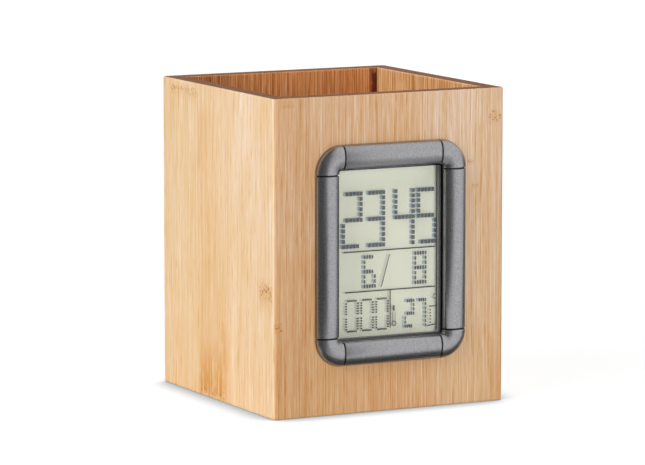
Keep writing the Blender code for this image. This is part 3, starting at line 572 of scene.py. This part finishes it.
BACK_MARKS = [
    (-22.0 * MM, 62.0 * MM, 2.6 * MM, 1.4 * MM, 0.7, -4.0 * MM, 0.4),
    (14.0 * MM, 24.0 * MM, 2.4 * MM, 1.2 * MM, 0.6, 4.0 * MM, 0.4),
    (31.0 * MM, 83.0 * MM, 2.6 * MM, 1.4 * MM, 0.7, -3.0 * MM, 0.3),
]
RIGHT_MARKS = [
    (12.0 * MM, 71.0 * MM, 9.0 * MM, 1.2 * MM, 0.7, -4.0 * MM, 0.25),
    (-26.0 * MM, 18.0 * MM, 9.5 * MM, 1.4 * MM, 0.6, 7.0 * MM, 0.4),
]

front_wood = bamboo(
    "bamboo_front",
    "X",
    ("Y", -1),
    FRONT_FIBRES,
    FRONT_TINTS,
    1,
    FRONT_MARKS,
    strip=NARROW_STRIP,
    fineness=1.2,
    contrast=0.85,
    foot=1.0,
    frame=(BEZEL_HALF, BEZEL_CORNER),
)
left_wood = bamboo(
    "bamboo_left",
    "Y",
    ("X", -1),
    LEFT_FIBRES,
    LEFT_TINTS,
    2,
    LEFT_MARKS,
    fineness=0.56,
    contrast=0.62,
    dots=1.4,
)
right_wood = bamboo("bamboo_right", "Y", ("X", 1), LEFT_FIBRES, PLAIN_TINTS, 3, RIGHT_MARKS)
back_wood = bamboo(
    "bamboo_back",
    "X",
    ("Y", 1),
    FRONT_FIBRES,
    PLAIN_TINTS,
    4,
    BACK_MARKS,
    strip=NARROW_STRIP,
    fineness=1.6,
    # Painted shade inside the back wall: darker and warmer, and darker still towards its left
    inner=(0.99, 0.68, 0.44),
    stain=(31.4 * MM, 33.6 * MM, 86.0 * MM),
    dusk=(-30.0 * MM, -4.0 * MM),
)
floor_wood = bamboo("bamboo_bottom", "X", ("Y", -1), LEFT_FIBRES, PLAIN_TINTS, 5, lying=True)

front_wall = make_wall("front_wall", 0, front_wood)
cut_half = tuple(half - PLUG_INSET + CUT_OUT_CLEARANCE for half in BEZEL_HALF)
cut_outline = rounded_rectangle(cut_half, PLUG_CORNER + CUT_OUT_CLEARANCE, 8)
combine(front_wall, "DIFFERENCE", plate("cutter", cut_outline, -OVERLAP, WALL + OVERLAP))
settle(front_wall, "holder", "bamboo", "front_panel")
settle(make_wall("right_wall", 1, right_wood), "holder", "bamboo", "right_panel")
settle(make_wall("back_wall", 2, back_wood), "holder", "bamboo", "back_panel")
settle(make_wall("left_wall", 3, left_wood), "holder", "bamboo", "left_panel")


# The clock's frame


def grey_paint():
    """Satin grey metallic paint with a fine bright grain, and painted shade where the mesh's shade attribute
    says so.
    """
    g = Graph("grey_metallic_paint")
    point = g.place()
    grain = g.noise(point, scale=2700.0, detail=3.0, roughness=0.8)
    cloud = g.noise(point, scale=260.0, detail=3.0, roughness=0.6)
    colour = g.mix(g.fade(grain, 0.34, 0.66), srgb(148, 148, 151), srgb(180, 180, 183))
    colour = g.mix(g.fade(cloud, 0.35, 0.7, 0.0, 0.2), colour, srgb(164, 164, 167))
    shade = g.add("Attribute", {}, "Fac", attribute_name="shade")
    colour = g.mix(g.times(shade, 0.95), colour, srgb(20, 20, 22))
    g.set(Base_Color=colour)
    g.set(Metallic=0.90)
    g.set(Roughness=g.fade(grain, 0.3, 0.7, 0.27, 0.37))
    g.set(Normal=g.bump(grain, 0.008 * MM, 0.5))
    return g.material


CROWN_STEPS = 28
BAR_CORNER_STEPS = 18
PLUG_CORNER_STEPS = 12
BOSS_SIDES = 32
GROOVE_CUT = (  # share of the groove's width from its middle, and share of its depth
    (-0.50, 0.0),
    (-0.40, 0.06),
    (-0.24, 0.62),
    (-0.12, 0.94),
    (0.12, 0.94),
    (0.24, 0.62),
    (0.40, 0.06),
    (0.50, 0.0),
)
# Places across a bar's round crown, from its outer edge near 1 to its inner edge near -1
CROWN_SHARES = [math.cos(math.pi * (step + 0.5) / (CROWN_STEPS + 1)) for step in range(CROWN_STEPS + 1)]

# Shades painted on the frame, from 0 (plain) to 1 (nearly black)
CONTACT_SHADE = 0.9  # painted shade where the frame meets the wood
FLANK_SHADE = 0.6  # painted shade at the top of the window's lip, which is at 1 itself
# Painted shade on the crown's inner flank, under the top bar and inside the left bar
TOP_BAR_SHADE = 0.46
LEFT_BAR_SHADE = 0.25


def clipped(value):
    return min(1.0, max(0.0, value))


def inner_shade(share, out):
    """How much painted shade darkens the crown towards its inner edge, under the top bar and beside the left.
    """
    below = clipped((-share - 0.12) / 0.33) * clipped(1.5 * out[1])
    beside = clipped((-share - 0.45) / 0.25) * clipped(-out[0])
    return TOP_BAR_SHADE * below + LEFT_BAR_SHADE * beside


def bezel_section(dip):
    """A bar's section as distance out from its corner's centre and depth, as deep as a groove dips."""
    outer = BEZEL_CORNER - dip
    inner_edge = BEZEL_CORNER - BEZEL_BAR
    window_edge = inner_edge - BEZEL_LIP
    web = BEZEL_CORNER - PLUG_INSET - PLUG_WALL / 4
    crown_middle = (BEZEL_CORNER + inner_edge) / 2
    crown_half = BEZEL_BAR / 2 - dip
    section = [(outer, -BEZEL_SEAT), (outer, -BEZEL_SIDE_HEIGHT + dip)]
    for across_share in CROWN_SHARES:
        foot_share = (1 + across_share) / 2
        foot = BEZEL_INNER_EDGE_HEIGHT + (BEZEL_SIDE_HEIGHT - BEZEL_INNER_EDGE_HEIGHT) * foot_share
        rise = (BEZEL_PROUD - foot) * math.sqrt(1 - across_share**2)
        section.append((crown_middle + crown_half * across_share, -foot - rise + dip))
    section += [
        (inner_edge + dip, -BEZEL_INNER_EDGE_HEIGHT + dip),
        (inner_edge, 0.0),
        (inner_edge - BEZEL_LIP / 3, 0.0),
        (window_edge, BEZEL_LIP_DEPTH),
        (web, BEZEL_LIP_DEPTH),
        (web, -BEZEL_SEAT),
    ]
    return section


def make_bezel():
    surface = grey_paint()
    loops, shades = [], []
    for quarter, (side, top) in enumerate(CORNER_SIDES):
        centre = (side * (BEZEL_HALF[0] - BEZEL_CORNER), top * (BEZEL_HALF[1] - BEZEL_CORNER))
        # Each corner has a groove before and after it; a stop is an angle, a slide and a groove's depth
        stops = []
        for share, deep in GROOVE_CUT:
            stops.append((QUARTER_TURN * quarter, (share - 0.5) * GROOVE_WIDTH, deep))
        for step in range(1, BAR_CORNER_STEPS):
            stops.append((QUARTER_TURN * (quarter + step / BAR_CORNER_STEPS), 0.0, 0.0))
        for share, deep in GROOVE_CUT:
            stops.append((QUARTER_TURN * (quarter + 1), (share + 0.5) * GROOVE_WIDTH, deep))
        for angle, slide, deep in stops:
            out = (math.cos(angle), math.sin(angle))
            start = (centre[0] - slide * out[1], centre[1] + slide * out[0])
            section = bezel_section(deep * GROOVE_DEPTH)
            loops.append([in_clock(start[0] + r * out[0], s, start[1] + r * out[1]) for r, s in section])
            # Painted shade: the window's lip and the frame's back are nearly black, a little less along the
            # bottom bar, and the grooves are darker as far as they are deep
            lip = 1.0 - 0.3 * max(0.0, -out[1])
            crown = [max(deep, inner_shade(share, out)) for share in CROWN_SHARES]
            shades += [CONTACT_SHADE, deep] + crown + [max(deep, crown[-1])] + [FLANK_SHADE * lip] + [lip] * 4
    ring = lofted("clock_frame", loops, surface, closed=True)
    shade = ring.data.attributes.new("shade", "FLOAT", "POINT")
    shade.data.foreach_set("value", shades)

    plug_half = tuple(half - PLUG_INSET for half in BEZEL_HALF)
    inner_half = tuple(half - PLUG_WALL for half in plug_half)
    plug_outline = rounded_rectangle(plug_half, PLUG_CORNER, PLUG_CORNER_STEPS)
    inner_outline = rounded_rectangle(inner_half, PLUG_CORNER - PLUG_WALL, PLUG_CORNER_STEPS)
    plug = plate("plug", plug_outline, PLUG_FRONT, PLUG_BACK, surface)
    hollow = plate("hollow", inner_outline, PLUG_FRONT - OVERLAP, PLUG_BACK + OVERLAP)
    combine(plug, "DIFFERENCE", hollow)
    combine(ring, "UNION", plug)
    for side in (-1, 1):
        for top in (-1, 1):
            centre = (side * BOSS_PLACE[0], top * BOSS_PLACE[1])
            boss_outline = circle(BOSS_RADIUS, BOSS_SIDES, centre)
            combine(ring, "UNION", plate("boss", boss_outline, BOSS_FRONT, BOSS_BACK, surface))
            pilot_outline = circle(PILOT_RADIUS, BOSS_SIDES, centre)
            combine(ring, "DIFFERENCE", plate("pilot", pilot_outline, PILOT_FLOOR, PLUG_BACK + OVERLAP))
    return settle(ring, "clock", "grey_paint", "bezel_frame")


make_bezel()


# The display's marks, all in millimetres from the clock's centre


TIME_GRID = (1.23, 1.65, 1.00, 1.25)  # column pitch, row pitch, block width, block height
DATE_GRID = (0.91, 1.545, 0.55, 1.10)
DEGREE_GRID = (0.745, 1.345, 0.46, 0.98)
TIME_FIGURES = (
    (-14.45, 18.6, ".XXXXX/.....X/.....X/.....X/.....X/.XXXXX/X...../X...../X...../X...../XXXXX."),
    (-6.50, 18.6, ".XXXXX/.....X/.....X/.....X/.....X/.XXXXX/.....X/.....X/.....X/.....X/.XXXXX"),
    (4.00, 18.6, "X....X/X....X/X....X/X....X/X....X/XXXXXX/.....X/.....X/.....X/.....X/.....X"),
    (12.10, 18.6, "XXXXX./X...../X...../X...../X...../XXXXX./.....X/.....X/.....X/.....X/.XXXXX"),
)
DATE_FIGURES = (
    (-7.05, -1.55, "XXXX./X..../X..../XXXX./X...X/X...X/XXXXX"),
    (10.95, -1.42, "XXXXX/X...X/X...X/XXXXX/X...X/X...X/XXXXX"),
)
DEGREE_FIGURES = (
    (7.42, -16.35, ".XXXX/....X/....X/.XXXX/X..../X..../XXXX."),
    (11.67, -16.35, ".XXXX/....X/....X/....X/....X/....X/....X"),
)
DOTTED_LEFT = (-13.49, -8.18, -2.87)  # the left columns of the three dotted noughts
DOTTED_WIDTH = 4.05
DOTTED_TOPS = (-15.9, -20.7)  # the highest dot of the upper and of the lower half of a column
DOTTED_ROWS = (-15.03, -24.66)
DOT_PITCH_UP, DOT_PITCH_ACROSS = 0.8125, 0.70
DOT_SIZE = (0.55, 0.45)
SCALE_DOTS = (16.33, -19.7, 0.34, 0.5)  # place of the first one and size; they are 1 mm apart
BULB_CENTRE, BULB_RADIUS, BULB_LINE = (3.37, -23.15), 0.7, 0.26
STEM = (3.34, -20.9, 0.14, 2.9)  # the thermometer's middle, and the size of each of its sides
STEM_HALF_WIDTH = 0.42
DEGREE_CENTRE, DEGREE_RADIUS, DEGREE_LINE = (18.0, -15.5), 0.7, 0.18
DEGREE_ARC = (60, 300)
ARC_STEP = 24  # degrees that one block of a round outline covers at most
BARS = (  # across and up of both ends, and thickness
    (-14.45, 0.34, 17.9, 0.34, 0.35),
    (-13.9, -12.36, 18.0, -12.36, 0.35),
    (2.05, -12.4, 2.05, -24.45, 0.30),
    (1.77, -1.1, -1.13, -11.2, 0.24),
    (3.32, -17.47, 3.32, -19.12, 0.5),
    (16.0, -18.65, 18.3, -18.6, 0.30),
    (15.4, -24.8, 18.3, -24.4, 0.30),
)


def figure_marks():
    """The figures' blocks as a centre across and up, a width, a height and a turn, in millimetres."""
    marks = []
    for grid, figures in (
        (TIME_GRID, TIME_FIGURES),
        (DATE_GRID, DATE_FIGURES),
        (DEGREE_GRID, DEGREE_FIGURES),
    ):
        for left, top, rows in figures:
            for row, line in enumerate(rows.split("/")):
                for column, state in enumerate(line):
                    if state == "X":
                        place = (left + column * grid[0], top - row * grid[1])
                        marks.append((*place, grid[2], grid[3], 0.0))
    return marks


def rule_marks():
    """The dotted noughts and the thin lines, written in the same way."""
    marks = []
    for left in DOTTED_LEFT:
        for step in range(5):
            for column in (left, left + DOTTED_WIDTH):
                for top in DOTTED_TOPS:
                    marks.append((column, top - DOT_PITCH_UP * step, *DOT_SIZE, 0.0))
            for row in DOTTED_ROWS:
                across = left + 0.60 + DOT_PITCH_ACROSS * step
                marks.append((across, row, DOT_SIZE[1], DOT_SIZE[0], 0.0))
    for step in range(5):
        across, top, width, height = SCALE_DOTS
        marks.append((across, top - step, width, height, 0.0))
    for across, up, end_across, end_up, thickness in BARS:
        run, rise = end_across - across, end_up - up
        turn = math.atan2(rise, run)
        marks.append(((across + end_across) / 2, (up + end_up) / 2, math.hypot(run, rise), thickness, turn))
    return marks


def block(builder, mark, depth, thickness, shift):
    """One mark as a thin plate at this depth in metres, shifted as its shadow is."""
    across, up, width, height, turn = mark
    corners = []
    for side, top in ((-1, -1), (1, -1), (1, 1), (-1, 1)):
        u, v = side * width / 2, top * height / 2
        corners.append(
            (
                (across + shift[0] + u * math.cos(turn) - v * math.sin(turn)) * MM,
                (up + shift[1] + u * math.sin(turn) + v * math.cos(turn)) * MM,
            )
        )
    near = [builder.verts.new(in_clock(u, depth - thickness / 2, v)) for u, v in corners]
    far = [builder.verts.new(in_clock(u, depth + thickness / 2, v)) for u, v in corners]
    builder.faces.new(near)
    builder.faces.new(far)
    for index in range(4):
        after = (index + 1) % 4
        builder.faces.new((near[index], near[after], far[after], far[index]))


def ring_mark(builder, centre, radius, line, depth, thickness, shift, start=0, end=360):
    """A round outline made of short blocks, such as the thermometer's bulb."""
    count = max(6, int(abs(end - start) / ARC_STEP))
    length = 2 * math.pi * radius * abs(end - start) / 360 / count
    for step in range(count):
        angle = math.radians(start + (end - start) * (step + 0.5) / count)
        place = (centre[0] + radius * math.cos(angle), centre[1] + radius * math.sin(angle))
        mark = (*place, length * 1.08, line, angle + math.pi / 2)
        block(builder, mark, depth, thickness, shift)


def ink(name, dark, light):
    g = Graph(name)
    cloud = g.noise(g.place(), scale=900.0, detail=2.0)
    g.set(Base_Color=g.mix(g.fade(cloud, 0.3, 0.7), dark, light))
    g.set(Roughness=0.6)
    return g.material


def make_marks(name, marks, lines, depth, thickness, shift, surface):
    builder = bmesh.new()
    for mark in marks:
        block(builder, mark, depth, thickness, shift)
    if lines:
        place = (depth, thickness, shift)
        ring_mark(builder, BULB_CENTRE, BULB_RADIUS, BULB_LINE, *place)
        across, up, width, height = STEM
        for side in (-STEM_HALF_WIDTH, STEM_HALF_WIDTH):
            block(builder, (across + side, up, width, height, 0.0), *place)
        ring_mark(builder, DEGREE_CENTRE, DEGREE_RADIUS, DEGREE_LINE, *place, *DEGREE_ARC)
    return settle(finished(name, builder, surface), "clock", "black_resin")


figure_ink = ink("display_figure_ink", srgb(84, 86, 94), srgb(94, 96, 104))
rule_ink = ink("display_rule_ink", srgb(42, 37, 37), srgb(50, 45, 44))
# The shadow plates are painted shadows of the marks, on the backing behind them
shadow_ink = ink("display_shadow_ink", srgb(164, 180, 190), srgb(172, 186, 194))
faint_shadow_ink = ink("display_faint_shadow_ink", srgb(194, 199, 188), srgb(200, 205, 192))
NEAR = (SEGMENT_DEPTH, SEGMENT_THICKNESS, (0.0, 0.0))
FAR = (SHADOW_DEPTH, SHADOW_THICKNESS, SHADOW_SHIFT)
make_marks("display_figures", figure_marks(), False, *NEAR, figure_ink)
make_marks("display_rules", rule_marks(), True, *NEAR, rule_ink)
make_marks("display_figure_shadows", figure_marks(), False, *FAR, shadow_ink)
make_marks("display_rule_shadows", rule_marks(), True, *FAR, faint_shadow_ink)


# Finishes of the CAD pieces that stay


def moulded(name, dark, light, roughness, grain=2600.0, depth=0.02, gloss=0.45):
    """Moulded plastic or rubber: a fine spark-eroded grain and a slow change of tone."""
    g = Graph(name)
    point = g.place()
    fine = g.noise(point, scale=grain, detail=2.0, roughness=0.6)
    cloud = g.noise(point, scale=140.0, detail=3.0)
    colour = g.mix(g.fade(fine, 0.3, 0.7), dark, light)
    g.set(Base_Color=g.mix(g.fade(cloud, 0.3, 0.75, 0.0, 0.3), colour, light))
    g.set(Roughness=g.fade(fine, 0.3, 0.7, roughness - 0.06, roughness + 0.06))
    g.set(Specular_IOR_Level=gloss)
    g.set(Normal=g.bump(fine, depth * MM, 0.5))
    return g.material


def clear_sheet(name, tint, alpha, roughness):
    """Glass or clear plastic, seen straight through."""
    g = Graph(name)
    cloud = g.noise(g.place(), scale=60.0, detail=2.0)
    g.set(Base_Color=g.mix(g.fade(cloud, 0.3, 0.7), tint, srgb(236, 240, 238)))
    g.set(Roughness=roughness, Alpha=alpha, IOR=1.49)
    return g.material


def brushed(name, dark, light, roughness):
    """Metal with fine lines across the height."""
    g = Graph(name)
    point = g.place()
    lines = g.noise(g.scaled(point, (60.0, 60.0, 4000.0)), detail=3.0, roughness=0.6)
    cloud = g.noise(point, scale=300.0, detail=2.0)
    colour = g.mix(g.fade(lines, 0.3, 0.7), dark, light)
    g.set(Base_Color=g.mix(g.fade(cloud, 0.4, 0.75, 0.0, 0.25), colour, dark))
    g.set(Metallic=1.0)
    g.set(Roughness=g.fade(lines, 0.3, 0.7, roughness - 0.06, roughness + 0.08))
    g.set(Normal=g.bump(lines, 0.01 * MM, 0.4))
    return g.material


def reflector():
    """The display's greenish beige backing, with the film's fine sparkle."""
    g = Graph("display_backing")
    point = g.place()
    fine = g.noise(point, scale=5200.0, detail=2.0, roughness=0.6)
    cloud = g.noise(point, scale=70.0, detail=2.0)
    colour = g.mix(g.fade(fine, 0.3, 0.7), srgb(222, 224, 202), srgb(230, 231, 212))
    colour = g.mix(g.fade(cloud, 0.3, 0.7, 0.0, 0.4), colour, srgb(226, 227, 207))
    x, _, z = g.split(point)
    # Painted light: paler near its sides and its top, against the shade that the frame casts on it
    beside = g.fade(g.size(x), 13.0 * MM, 18.5 * MM)
    above = g.fade(g.minus(z, CLOCK_CENTRE_HEIGHT), 19.0 * MM, 27.0 * MM)
    painted_light = g.times(g.most(g.times(beside, 0.8), above), 0.9)
    g.set(Base_Color=g.mix(painted_light, colour, srgb(242, 244, 226)))
    g.set(Roughness=0.55, Specular_IOR_Level=0.3)
    g.set(Normal=g.bump(fine, 0.01 * MM, 0.3))
    return g.material


def circuit():
    """Green solder mask with lighter tracks under it."""
    g = Graph("board_green")
    point = g.place()
    lane = {"Vector": g.scaled(point, (420.0, 420.0, 160.0))}
    lanes = g.add("TexVoronoi", lane, "Distance", distance="MANHATTAN")
    tracks = g.fade(g.size(g.minus(lanes, 0.42)), 0.03, 0.06, 1.0, 0.0)
    fine = g.noise(point, scale=3000.0, detail=2.0)
    colour = g.mix(g.fade(fine, 0.3, 0.7), srgb(20, 78, 44), srgb(28, 90, 52))
    g.set(Base_Color=g.mix(tracks, colour, srgb(58, 128, 74)))
    g.set(Roughness=0.38)
    g.set(Normal=g.bump(tracks, 0.03 * MM, 0.5))
    return g.material


black = moulded("black_plastic", srgb(26, 26, 28), srgb(40, 40, 42), 0.46)
rubber = moulded("grey_rubber", srgb(44, 44, 46), srgb(58, 58, 60), 0.72, 1800.0, 0.03, 0.3)
foam = moulded("gasket_foam", srgb(112, 112, 114), srgb(130, 130, 130), 0.8, 1800.0, 0.03, 0.2)
button = moulded("button_plastic", srgb(58, 59, 62), srgb(78, 79, 82), 0.42)
resin = moulded("black_resin", srgb(18, 18, 20), srgb(30, 30, 32), 0.26, 900.0, 0.05, 0.55)
steel = brushed("brushed_steel", srgb(150, 150, 152), srgb(196, 196, 198), 0.30)
brass = brushed("plated_brass", srgb(168, 140, 84), srgb(206, 180, 120), 0.32)
lens = clear_sheet("clear_lens", srgb(236, 240, 240), 0.02, 0.06)
glass = clear_sheet("display_glass", srgb(216, 226, 216), 0.012, 0.08)

FINISHES = {
    "bottom_panel": floor_wood,
    "display_lens": lens,
    "display_gasket": foam,
    "lcd_front_glass": glass,
    "lcd_rear_glass": glass,
    "lcd_reflector": reflector(),
    "display_tray": black,
    "upper_contact_strip": rubber,
    "lower_contact_strip": rubber,
    "circuit_board": circuit(),
    "controller_chip": resin,
    "quartz_crystal": steel,
    "temperature_sensor": resin,
    "piezo_buzzer": brass,
    "keypad_mat": rubber,
    "rear_housing": black,
    "coin_cell": steel,
    "negative_contact": steel,
    "positive_contact": steel,
    "battery_cover": black,
    "mode_button": button,
    "set_button": button,
    "up_button": button,
    "down_button": button,
    "housing_screw_1": steel,
    "housing_screw_2": steel,
    "housing_screw_3": steel,
    "housing_screw_4": steel,
}
for node, surface in FINISHES.items():
    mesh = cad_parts[node].data
    mesh.materials.clear()
    mesh.materials.append(surface)


# The studio


FLOOR_SIZE = 6.0
CONTACT_REACH = 14.0 * MM  # how far from the object the floor's painted contact shadow reaches for the camera
WORLD_STRENGTH = 0.20
CLEAR_LAYERS = 32  # the display lies behind more clear layers than the default draws
CAMERA_PLACE = (-0.60841, -1.18643, 0.23421)
CAMERA_TARGET = (-0.003029, 0.0, 0.051516)
CAMERA_LENS = 234.34
SUNS = (  # direction of the light, strength, and its width in degrees
    ("key", (-0.82, -0.15, 0.55), 2.58, 45),
    ("fill", (-0.05, -0.99, 0.12), 1.53, 24),
    ("back", (0.70, 0.64, 0.20), 1.75, 60),
)
LOW, RAISED, MIDDLE, HIGH = 1.0 * MM, 10.0 * MM, 0.25, 1.6  # heights of the cards' corners
FLAGS = {
    "flag_left": [(-0.7, 0.3, LOW), (-0.7, -1.0, LOW), (-0.7, -1.0, HIGH), (-0.7, 0.3, HIGH)],
    "flag_left_front": [(-0.7, -1.0, LOW), (0.27, -1.5, LOW), (-0.08, -1.5, HIGH), (-0.7, -1.0, HIGH)],
    "flag_overhead": [
        (-0.7, 0.3, HIGH),
        (-0.7, -1.0, HIGH),
        (-0.08, -1.5, HIGH),
        (0.12, -0.4, HIGH),
        (0.12, 0.3, HIGH),
    ],
    "flag_left_low": [
        (-0.10, 0.1, LOW),
        (-1.5, 0.1, LOW),
        (-1.5, -1.5, LOW),
        (0.27, -1.5, LOW),
        (-0.008, -0.10, LOW),
        (-0.10, 0.0, LOW),
    ],
    "flag_front_low": [
        (-0.036, -0.058, RAISED),
        (0.06, -0.058, RAISED),
        (0.06, -0.042, RAISED),
        (-0.036, -0.042, RAISED),
    ],
    "flag_right_low": [(0.08, -0.075, LOW), (1.5, -0.60, LOW), (1.5, 1.0, LOW), (0.08, 1.0, LOW)],
    "flag_right": [(1.2, -0.50, LOW), (0.8, 0.8, LOW), (0.8, 0.8, MIDDLE), (1.2, -0.50, MIDDLE)],
}


def shows_background(tree):
    """1 for rays that see the studio: from the camera, from gloss or through glass."""
    path = tree.nodes.new("ShaderNodeLightPath")
    total = path.outputs["Is Camera Ray"]
    for name in ("Is Glossy Ray", "Is Transmission Ray"):
        most = tree.nodes.new("ShaderNodeMath")
        most.operation = "MAXIMUM"
        tree.links.new(total, most.inputs[0])
        tree.links.new(path.outputs[name], most.inputs[1])
        total = most.outputs[0]
    return total


def make_floor():
    builder = bmesh.new()
    half = FLOOR_SIZE / 2
    corners = [(side * half, top * half, 0.0) for side, top in CORNER_SIDES]
    builder.faces.new([builder.verts.new(corner) for corner in corners])
    floor = finished("studio_floor", builder, None)
    g = Graph("studio_floor")
    fine = g.noise(g.place(), scale=40.0, detail=2.0)
    g.set(Base_Color=g.mix(g.fade(fine, 0.3, 0.7), srgb(228, 228, 228), srgb(232, 232, 232)))
    g.set(Roughness=0.9, Specular_IOR_Level=0.0)
    # What the camera sees is white, with a painted contact shadow close to what stands on it
    open_sky = g.add("AmbientOcclusion", {"Distance": CONTACT_REACH}, "AO", samples=16)
    shade = g.mix(g.fade(open_sky, 0.30, 0.92), srgb(150, 156, 160), WHITE)
    white = g.add("BsdfDiffuse", {"Color": g.mix(1.0, shade, (0.15, 0.15, 0.15, 1.0), "MULTIPLY")})
    glow = g.add("Emission", {"Color": shade, "Strength": 0.92})
    lit = g.add("AddShader", {0: white, 1: glow})
    seen = g.add("MixShader", {0: shows_background(g.tree), 1: g.shader.outputs[0], 2: lit})
    g.tree.links.new(seen, g.output.inputs["Surface"])
    floor.data.materials.append(g.material)


def make_world():
    world = bpy.data.worlds.new("studio")
    bpy.context.scene.world = world
    world.use_nodes = True
    tree = world.node_tree
    lamp = tree.nodes["Background"]
    seen = tree.nodes.new("ShaderNodeBackground")
    for node, strength in ((lamp, WORLD_STRENGTH), (seen, 1.0)):
        node.inputs["Color"].default_value = WHITE
        node.inputs["Strength"].default_value = strength
    mix = tree.nodes.new("ShaderNodeMixShader")
    tree.links.new(shows_background(tree), mix.inputs[0])
    tree.links.new(lamp.outputs[0], mix.inputs[1])
    tree.links.new(seen.outputs[0], mix.inputs[2])
    tree.links.new(mix.outputs[0], tree.nodes["World Output"].inputs["Surface"])


def sun(name, towards, strength, spread):
    """A wide soft light at a great distance, which lights the floor evenly."""
    data = bpy.data.lights.new(name, "SUN")
    data.energy = strength
    data.angle = math.radians(spread)
    lamp = bpy.data.objects.new(name, data)
    bpy.context.scene.collection.objects.link(lamp)
    lamp.rotation_euler = Vector(towards).to_track_quat("Z", "Y").to_euler()
    lamp.visible_glossy = False


def flag(name, corners):
    """A dark card that only gloss sees, which shapes the reflections in the metal paint."""
    builder = bmesh.new()
    builder.faces.new([builder.verts.new(corner) for corner in corners])
    card = finished(name, builder, None)
    g = Graph(name)
    g.set(Base_Color=(0.02, 0.02, 0.02, 1.0), Roughness=1.0, Specular_IOR_Level=0.0)
    card.data.materials.append(g.material)
    for ray in ("camera", "diffuse", "transmission", "volume_scatter", "shadow"):
        setattr(card, f"visible_{ray}", False)


def make_camera():
    data = bpy.data.cameras.new("camera")
    data.lens = CAMERA_LENS
    data.sensor_width = 36.0
    data.clip_start, data.clip_end = 0.01, 50.0
    camera = bpy.data.objects.new("camera", data)
    bpy.context.scene.collection.objects.link(camera)
    camera.location = CAMERA_PLACE
    aim = Vector(CAMERA_TARGET) - Vector(CAMERA_PLACE)
    camera.rotation_euler = aim.to_track_quat("-Z", "Y").to_euler()
    bpy.context.scene.camera = camera


make_floor()
make_world()
make_camera()
for light in SUNS:
    sun(*light)
for name, corners in FLAGS.items():
    flag(name, corners)
bpy.context.scene.view_settings.view_transform = "Standard"
bpy.context.scene.cycles.transparent_max_bounces = CLEAR_LAYERS
